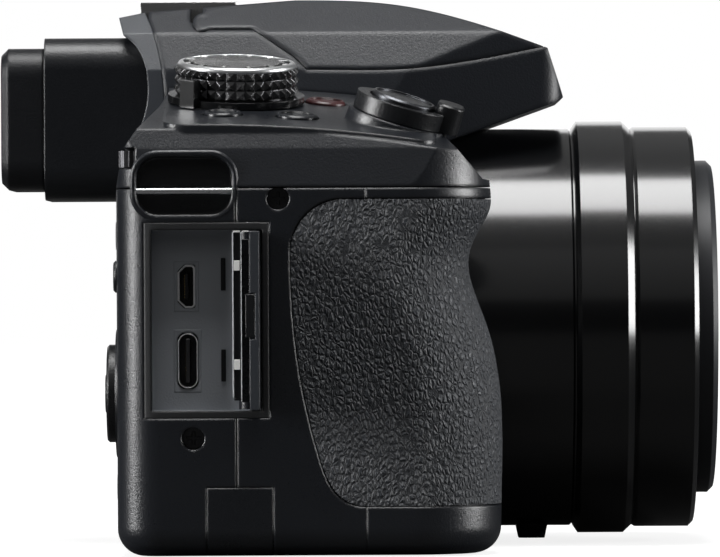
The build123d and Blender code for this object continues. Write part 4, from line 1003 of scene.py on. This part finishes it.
@dataclass
class Controls:
    """Dials, levers and buttons on the deck and the back."""

    shop: Workshop
    turned: tuple[tuple[str, str, str, Colour, float], ...] = (
        ("mode_dial", "mode_dial_turn", "dial_metal", (0.1, 0.1, 0.103), 0.2),
        ("rear_dial", "rear_dial_turn", "wheel_metal", (0.05, 0.05, 0.053), 0.32),
        ("shutter_button", "zoom_lever_turn", "release_metal", (0.09, 0.093, 0.1), 0.34),
    )
    dial_top: float = 7.0 * MM
    mark_radius: float = 8.2 * MM
    mark_count: int = 12
    mark_size: Point = (1.5 * MM, 0.42 * MM, 0.16 * MM)
    mark_sunk: float = 0.03 * MM
    mark_ease: float = 0.05 * MM
    edge_profile: tuple[Pair, ...] = (
        (10.1 * MM, 6.1 * MM),
        (10.34 * MM, 6.2 * MM),
        (9.9 * MM, 6.92 * MM),
        (9.3 * MM, 7.06 * MM),
        (9.1 * MM, 6.98 * MM),
    )
    edge_steps: int = 128

    def build(self) -> None:
        """Dress the controls, print the dial's plain marks and add its bright edge."""
        shop = self.shop
        for node, joint, name, colour, rough in self.turned:
            centre, axis = shop.joint(joint)
            shop.dress(Turned(name, colour, tuple(centre), tuple(axis), rough=rough), node)
        shop.dress(BARREL_LACQUER, "power_lever")
        shop.dress(DARK_PLASTIC, "zoom_lever", "centre_button", "cursor_pad")
        shop.dress(SMOOTH_PLASTIC, "drive_button", "function_button", "display_button")
        shop.dress(SMOOTH_PLASTIC, "play_button", "lock_button")
        shop.dress(RED_PLASTIC, "record_button")
        place = framed(*shop.joint("mode_dial_turn"), Vector((0, -1, 0)))
        self._marks(place)
        self._dial_edge(place)

    def _dial_edge(self, place: Matrix) -> None:
        """Polished slope round the top of the dial.

        Args:
            place: Frame of the dial's axis at the deck.
        """
        shape = bmesh.new()
        lathe(shape, self.edge_profile, place, self.edge_steps)
        self.shop.piece("dial_edge", shape, POLISHED, Body.DIAL, Slot.SILVER)

    def _marks(self, place: Matrix) -> None:
        """Short plain dashes round the top of the dial.

        Args:
            place: Frame of the dial's axis at the deck.
        """
        shape = bmesh.new()
        middle = Vector((self.mark_radius, 0, self.dial_top - self.mark_sunk))
        for index in range(self.mark_count):
            turn = Matrix.Rotation(2 * math.pi * (index + 0.5) / self.mark_count, 4, "Z")
            spot = place @ turn @ Matrix.Translation(middle)
            bar(shape, spot, self.mark_size, self.mark_ease)
        self.shop.piece("dial_marks", shape, PRINT, Body.DIAL, Slot.SILVER)


# Pieces on the free end of the door, each as boxes from one (y, z) to another in millimetres. The
# pale bead lines, and the thin caps at the top among the pads, paint the highlights along the bead;
# the two larger pads are pale patches.
DOOR_TRIM: tuple[tuple[str, Finish, tuple[tuple[Pair, Pair], ...]], ...] = (
    ("door_bead_highlight", BEAD_HIGHLIGHT, (((12.95, 26.9), (13.15, 54.2)), ((11.6, 26.2), (11.73, 54.3)))),
    (
        "door_pads",
        PAD_PLASTIC,
        (
            ((11.9, 47.9), (12.9, 49.6)),
            ((11.9, 31.5), (12.9, 33.2)),
            ((11.85, 54.25), (12.95, 54.5)),
            ((10.45, 54.3), (11.5, 54.52)),
        ),
    ),
    (
        "door_face",
        FACE_PLASTIC,
        (((8.72, 44.2), (10.3, 54.4)), ((8.72, 24.8), (10.3, 36.5)), ((8.72, 36.5), (9.4, 44.2))),
    ),
    ("door_pull", DARK_PLASTIC, (((9.45, 36.8), (11.0, 44.0)),)),
)


@dataclass(frozen=True)
class Row:
    """Row of contacts: how deep in its socket, how far aside, how long, and of how many."""

    depth: float
    aside: float
    length: float
    count: int


@dataclass
class Ports:
    """Tray with its sockets and the door that stands open."""

    shop: Workshop
    tray_floor: float = -70.7 * MM
    plate_margin: float = 0.62 * MM
    plate_play: float = 0.2 * MM
    plate_proud: float = 0.02 * MM
    plate_depth: float = 0.3 * MM
    sharp: float = 0.05 * MM
    rim: float = 0.34 * MM
    rim_proud: float = 0.08 * MM
    rim_ease: float = 0.16 * MM
    usb_rim_depth: float = 0.5 * MM
    usb_row: Row = Row(0.6 * MM, 0.36 * MM, 5.4 * MM, 12)
    video_corners: tuple[Corner, Corner] = (Corner(1.3 * MM, True), Corner(0.75 * MM))
    video_back: Pair = (0.8 * MM, 1.2 * MM)
    video_back_play: float = 0.3 * MM
    video_back_ease: float = 0.2 * MM
    blade_depth: float = 3.1 * MM
    blade_size: Point = (4.4 * MM, 0.6 * MM, 4.3 * MM)
    blade_ease: float = 0.08 * MM
    video_row: Row = Row(1.0 * MM, 0.3 * MM, 3.6 * MM, 9)
    contact_size: Point = (1.6 * MM, 0.12 * MM, 0.2 * MM)
    contact_back: float = 0.7 * MM
    contact_ease: float = 0.02 * MM
    door_end: float = -89.75 * MM
    trim_depth: float = 0.12 * MM
    trim_thick: float = 0.36 * MM
    trim_ease: float = 0.05 * MM
    seal_x: Pair = (-89.5 * MM, -79.6 * MM)
    seal_y: Pair = (11.62 * MM, 12.94 * MM)
    seal_z: Pair = (26.4 * MM, 54.2 * MM)
    seal_width: float = 1.3 * MM
    seal_ease: float = 0.1 * MM
    claw_y: float = 15.0 * MM
    claw_size: Pair = (0.3 * MM, 0.8 * MM)
    claw_spans: tuple[Pair, ...] = ((44.6 * MM, 50.1 * MM), (29.3 * MM, 34.7 * MM))
    claw_ease: float = 0.12 * MM

    def build(self) -> None:
        """Dress the tray, the sockets and the door, and add their trim."""
        shop = self.shop
        shop.dress(TRAY_PLASTIC, "port_panel")
        shop.dress(DARK_STEEL, "video_socket", "usb_socket")
        shop.dress(DOOR_PLASTIC, "port_door")
        self._video()
        self._usb()
        self._door_trim()
        self._seal()
        self._claws()

    def _trim(self, name: str, shape: bmesh.types.BMesh, finish: Finish, body: Body) -> None:
        """Finish a small piece with flat faces."""
        self.shop.piece(name, shape, finish, body, Slot.ACCENT, smooth=False)

    def _seal(self) -> None:
        """Ring of rubber round the inner face of the door."""
        (x0, x1), (y0, y1), (z0, z1), wide = self.seal_x, self.seal_y, self.seal_z, self.seal_width
        shape = bmesh.new()
        for left, right, low, high in (
            (x0, x0 + wide, z0, z1),
            (x1 - wide, x1, z0, z1),
            (x0 + wide, x1 - wide, z0, z0 + wide),
            (x0 + wide, x1 - wide, z1 - wide, z1),
        ):
            place = Matrix.Translation(((left + right) / 2, (y0 + y1) / 2, (low + high) / 2))
            bar(shape, place, (right - left, y1 - y0, high - low), self.seal_ease)
        self._trim("door_seal", shape, SOFT_RUBBER, Body.DOOR)

    def _claws(self) -> None:
        """Two catches at the hinge side of the tray."""
        shape = bmesh.new()
        proud, wide = self.claw_size
        for low, high in self.claw_spans:
            middle = (self.tray_floor - proud / 2, self.claw_y, (low + high) / 2)
            bar(shape, Matrix.Translation(middle), (proud, wide, high - low), self.claw_ease)
        self._trim("tray_claws", shape, DARK_PLASTIC, Body.CAMERA)

    def _mouth(self, node: str) -> tuple[Pair, Pair]:
        """Return the middle and the size of a socket's mouth as (y, z)."""
        low, high = (Vector(c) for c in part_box(node))
        return ((low.y + high.y) / 2, (low.z + high.z) / 2), (high.y - low.y, high.z - low.z)

    def _surround(self, name: str, node: str, bends: Sequence[Corner]) -> None:
        """Plate of the tray that closes the corners round a socket.

        Args:
            name: The piece's name.
            node: The socket's node.
            bends: The socket's corners.
        """
        middle, size = self._mouth(node)
        wide = tuple(c + 2 * self.plate_margin for c in size)
        room = tuple(c + 2 * self.plate_play for c in size)
        outer = outline(middle, wide, [Corner(self.sharp)] * 4)
        inner = outline(middle, room, [Corner(r + self.plate_play, cut) for r, cut in bends])
        near, far = self.tray_floor - self.plate_proud, self.tray_floor + self.plate_depth
        shape = bmesh.new()
        band(shape, outer, inner, near, far, 0.0)
        self._trim(name, shape, TRAY_PLASTIC, Body.CAMERA)

    def _rim(
        self, node: str, bends: Sequence[Corner], near: float, depth: float
    ) -> bmesh.types.BMesh:
        """Return the drawn steel edge of a socket.

        Args:
            node: The socket's node.
            bends: The socket's corners.
            near: X of the socket's face.
            depth: How deep the edge runs.

        Returns:
            The mesh.
        """
        middle, size = self._mouth(node)
        small = tuple(c - 2 * self.rim for c in size)
        tight = [Corner(max(radius - self.rim, self.sharp), cut) for radius, cut in bends]
        face = near - self.rim_proud
        outer, inner = outline(middle, size, bends), outline(middle, small, tight)
        shape = bmesh.new()
        band(shape, outer, inner, face, face + depth, self.rim_ease)
        return shape

    def _video(self) -> None:
        """Small video socket with its cut corners, in place of the plain one."""
        low, high = (Vector(c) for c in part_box("video_socket"))
        (y, z), (wide, tall) = self._mouth("video_socket")
        cut, bent = self.video_corners
        bends = (cut, bent, bent, cut)
        self._surround("video_surround", "video_socket", bends)
        shell = self._rim("video_socket", bends, low.x, high.x - low.x)
        # The shell's near-white edge is a painted highlight.
        piece = self.shop.piece("video_shell", shell, NICKEL_PAINTED_HIGHLIGHT, Body.CAMERA, Slot.STEEL)
        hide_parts("video_socket")
        inset, thick = self.video_back
        back = Matrix.Translation((high.x - inset, y, z))
        fill = (thick, wide - self.video_back_play, tall - self.video_back_play)
        blade = Matrix.Translation((low.x + self.blade_depth, y, z))
        tongue = bmesh.new()
        bar(tongue, back, fill, self.video_back_ease)
        bar(tongue, blade, self.blade_size, self.blade_ease)
        self._trim("video_tongue", tongue, DARK_PLASTIC, Body.CAMERA)
        self._contacts("video_contacts", low.x, (y, z), self.video_row)

    def _usb(self) -> None:
        """Edge, whitened as a painted highlight, and contacts of the charging socket."""
        low, _ = (Vector(c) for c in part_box("usb_socket"))
        middle, (across, _) = self._mouth("usb_socket")
        bends = [Corner(across / 2 - self.sharp)] * 4
        self._surround("usb_surround", "usb_socket", bends)
        rim = self._rim("usb_socket", bends, low.x, self.usb_rim_depth)
        self.shop.piece("usb_rim", rim, NICKEL_PAINTED_HIGHLIGHT, Body.CAMERA, Slot.STEEL)
        self._contacts("usb_contacts", low.x, middle, self.usb_row)

    def _contacts(self, name: str, near: float, mouth: Pair, row: Row) -> None:
        """Row of contacts on one face of a socket's tongue.

        Args:
            name: The piece's name.
            near: X of the socket's face.
            mouth: Middle of the socket's mouth as (y, z).
            row: The row.
        """
        shape = bmesh.new()
        middle = Vector((near + row.depth, *mouth))
        for index in range(row.count):
            up = (index / (row.count - 1) - 0.5) * row.length
            place = middle + Vector((self.contact_back, row.aside, up))
            bar(shape, Matrix.Translation(place), self.contact_size, self.contact_ease)
        self.shop.piece(name, shape, GOLD, Body.CAMERA, Slot.STEEL, smooth=False)

    def _door_trim(self) -> None:
        """Bead lines, pads and pull on the free end of the door; the pale bead lines and the thin
        caps are painted highlights.
        """
        for name, finish, boxes in DOOR_TRIM:
            shape = bmesh.new()
            for (y0, z0), (y1, z1) in boxes:
                middle = (self.door_end + self.trim_depth, (y0 + y1) / 2 * MM, (z0 + z1) / 2 * MM)
                size = (self.trim_thick, (y1 - y0) * MM, (z1 - z0) * MM)
                bar(shape, Matrix.Translation(middle), size, self.trim_ease)
            self._trim(name, shape, finish, Body.DOOR)


@dataclass(frozen=True)
class Lamp:
    """Soft rectangular lamp: its places and size in metres and its power in watts."""

    name: str
    place: Point
    aim: Point
    size: Pair
    power: float

    def build(self) -> None:
        """Hang the lamp and turn it to its aim."""
        light = bpy.data.lights.new(self.name, "AREA")
        light.shape = "RECTANGLE"
        light.size, light.size_y = self.size
        light.energy = self.power
        lamp = bpy.data.objects.new(self.name, light)
        bpy.context.scene.collection.objects.link(lamp)
        lamp.location = self.place
        towards = Vector(self.aim) - Vector(self.place)
        lamp.rotation_euler = towards.to_track_quat("-Z", "Y").to_euler()


@dataclass
class Studio:
    """White floor, soft lamps and the camera at the photograph's viewpoint."""

    aim: Point = (0.0, -8 * MM, 46.5 * MM)
    distance: float = 1.3
    focal: float = 365.6
    roll: float = 0.3
    sensor: float = 36.0
    near_clip: float = 0.05
    room_low: float = 0.012
    room_high: float = 0.3
    room_rise: Pair = (0.1, 1.0)
    room_gloss: float = 0.008
    floor_radius: float = 4.0
    floor_drop: float = 0.0002
    floor_dark: Colour = (0.06, 0.06, 0.06)
    paper: Colour = (0.8, 0.8, 0.8)
    glow: float = 1.2
    glow_near: float = 0.7
    glow_reach: Pair = (0.1, 0.75)
    lamps: tuple[Lamp, ...] = (
        Lamp("overhead", (-0.165, 0.0, 0.94), (-0.14, 0.0, 0.0), (0.53, 0.42), 8.6),
        Lamp("back_strip", (-0.3, 0.95, 0.3), (0.0, 0.02, 0.05), (0.24, 0.55), 12.0),
        Lamp("front_strip", (-0.08, -1.0, 0.25), (0.0, -0.04, 0.05), (0.36, 0.5), 9.5),
        Lamp("camera_fill", (-1.1, 0.1, 0.7), (0.0, 0.0, 0.05), (0.9, 0.7), 0.3),
        Lamp("far_fill", (1.1, 0.1, 0.3), (0.0, 0.0, 0.05), (0.9, 0.5), 1.6),
    )

    def build(self) -> None:
        """Set up the stage."""
        scene = bpy.context.scene
        scene.view_settings.view_transform = "Standard"
        self._camera(scene)
        self._world(scene)
        self._floor()
        for lamp in self.lamps:
            lamp.build()

    def _camera(self, scene: bpy.types.Scene) -> None:
        """Place the camera, which looks along X with Z up.

        Args:
            scene: The scene that gets it.
        """
        lens = bpy.data.cameras.new("view")
        lens.lens = self.focal
        lens.sensor_width = self.sensor
        lens.clip_start = self.near_clip
        camera = bpy.data.objects.new("view", lens)
        scene.collection.objects.link(camera)
        turn = Matrix.Rotation(math.radians(self.roll), 4, "X")
        look = Matrix(((0, 0, -1), (-1, 0, 0), (0, 1, 0))).to_4x4()
        camera.matrix_world = Matrix.Translation((-self.distance, *self.aim[1:])) @ turn @ look
        scene.camera = camera

    def _world(self, scene: bpy.types.Scene) -> None:
        """Light the world softly, white where it is seen.

        Args:
            scene: The scene that gets it.
        """
        world = bpy.data.worlds.new("studio")
        scene.world = world
        world.use_nodes = True
        graph = Graph(world.node_tree)
        seen = graph.node("ShaderNodeLightPath", output="Is Camera Ray")
        path = seen.socket.node
        glossy = Flow(graph, path.outputs["Is Glossy Ray"])
        through = Flow(graph, path.outputs["Is Transmission Ray"])
        height = graph.along(graph.node("ShaderNodeTexCoord", output="Generated"), "Z")
        rise = height.smooth(*self.room_rise)
        room = self.room_low + rise * (self.room_high - self.room_low)
        strength = seen + (1.0 - seen) * (room + (glossy + through) * self.room_gloss)
        sky = graph.node("ShaderNodeBackground", None, {"Color": WHITE, "Strength": strength})
        graph.node("ShaderNodeOutputWorld", None, {"Surface": sky})

    def _floor(self) -> None:
        """Pale floor that keeps a faint shadow."""
        shape = bmesh.new()
        bmesh.ops.create_circle(shape, cap_ends=True, radius=self.floor_radius, segments=64)
        mesh = bpy.data.meshes.new("studio_floor")
        shape.to_mesh(mesh)
        shape.free()
        floor = bpy.data.objects.new("studio_floor", mesh)
        floor.location = (0.0, 0.0, -self.floor_drop)
        bpy.context.scene.collection.objects.link(floor)
        mesh.materials.append(material("studio_floor", self._paint_floor))

    def _paint_floor(self, graph: Graph) -> None:
        """White paper where the camera sees it, dark in reflections and clear from below.

        Args:
            graph: The material's graph.
        """
        seen = graph.node("ShaderNodeLightPath", output="Is Camera Ray")
        dark = graph.node("ShaderNodeBsdfDiffuse", None, {"Color": self.floor_dark})
        paper = graph.node("ShaderNodeBsdfDiffuse", None, {"Color": self.paper})
        glow = graph.node("ShaderNodeEmission", None, {"Color": WHITE, "Strength": self.glow})
        away = graph.vector("LENGTH", graph.place(), output="Value").smooth(*self.glow_reach)
        share = self.glow_near + away * (1.0 - self.glow_near)
        bright = graph.node("ShaderNodeMixShader", None, {0: share, 1: paper, 2: glow})
        both = graph.node("ShaderNodeMixShader", None, {0: seen, 1: dark, 2: bright})
        below = graph.node("ShaderNodeNewGeometry", output="Backfacing")
        clear = graph.node("ShaderNodeBsdfTransparent")
        sheet = graph.node("ShaderNodeMixShader", None, {0: below, 1: both, 2: clear})
        graph.node("ShaderNodeOutputMaterial", None, {"Surface": sheet})


def main() -> None:
    """Build the camera's looks from its sub-assemblies."""
    logging.basicConfig(level=logging.INFO, format="%(name)s: %(message)s")
    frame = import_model()
    shop = Workshop(frame)
    for part in (Casing(shop), Finder(shop), Lens(shop), Controls(shop), Ports(shop)):
        first = len(shop.pieces)
        part.build()
        for piece in shop.pieces[first:]:
            log.info("%s: %s", type(part).__name__, piece)
    Studio().build()


if __name__ == "__main__":
    main()
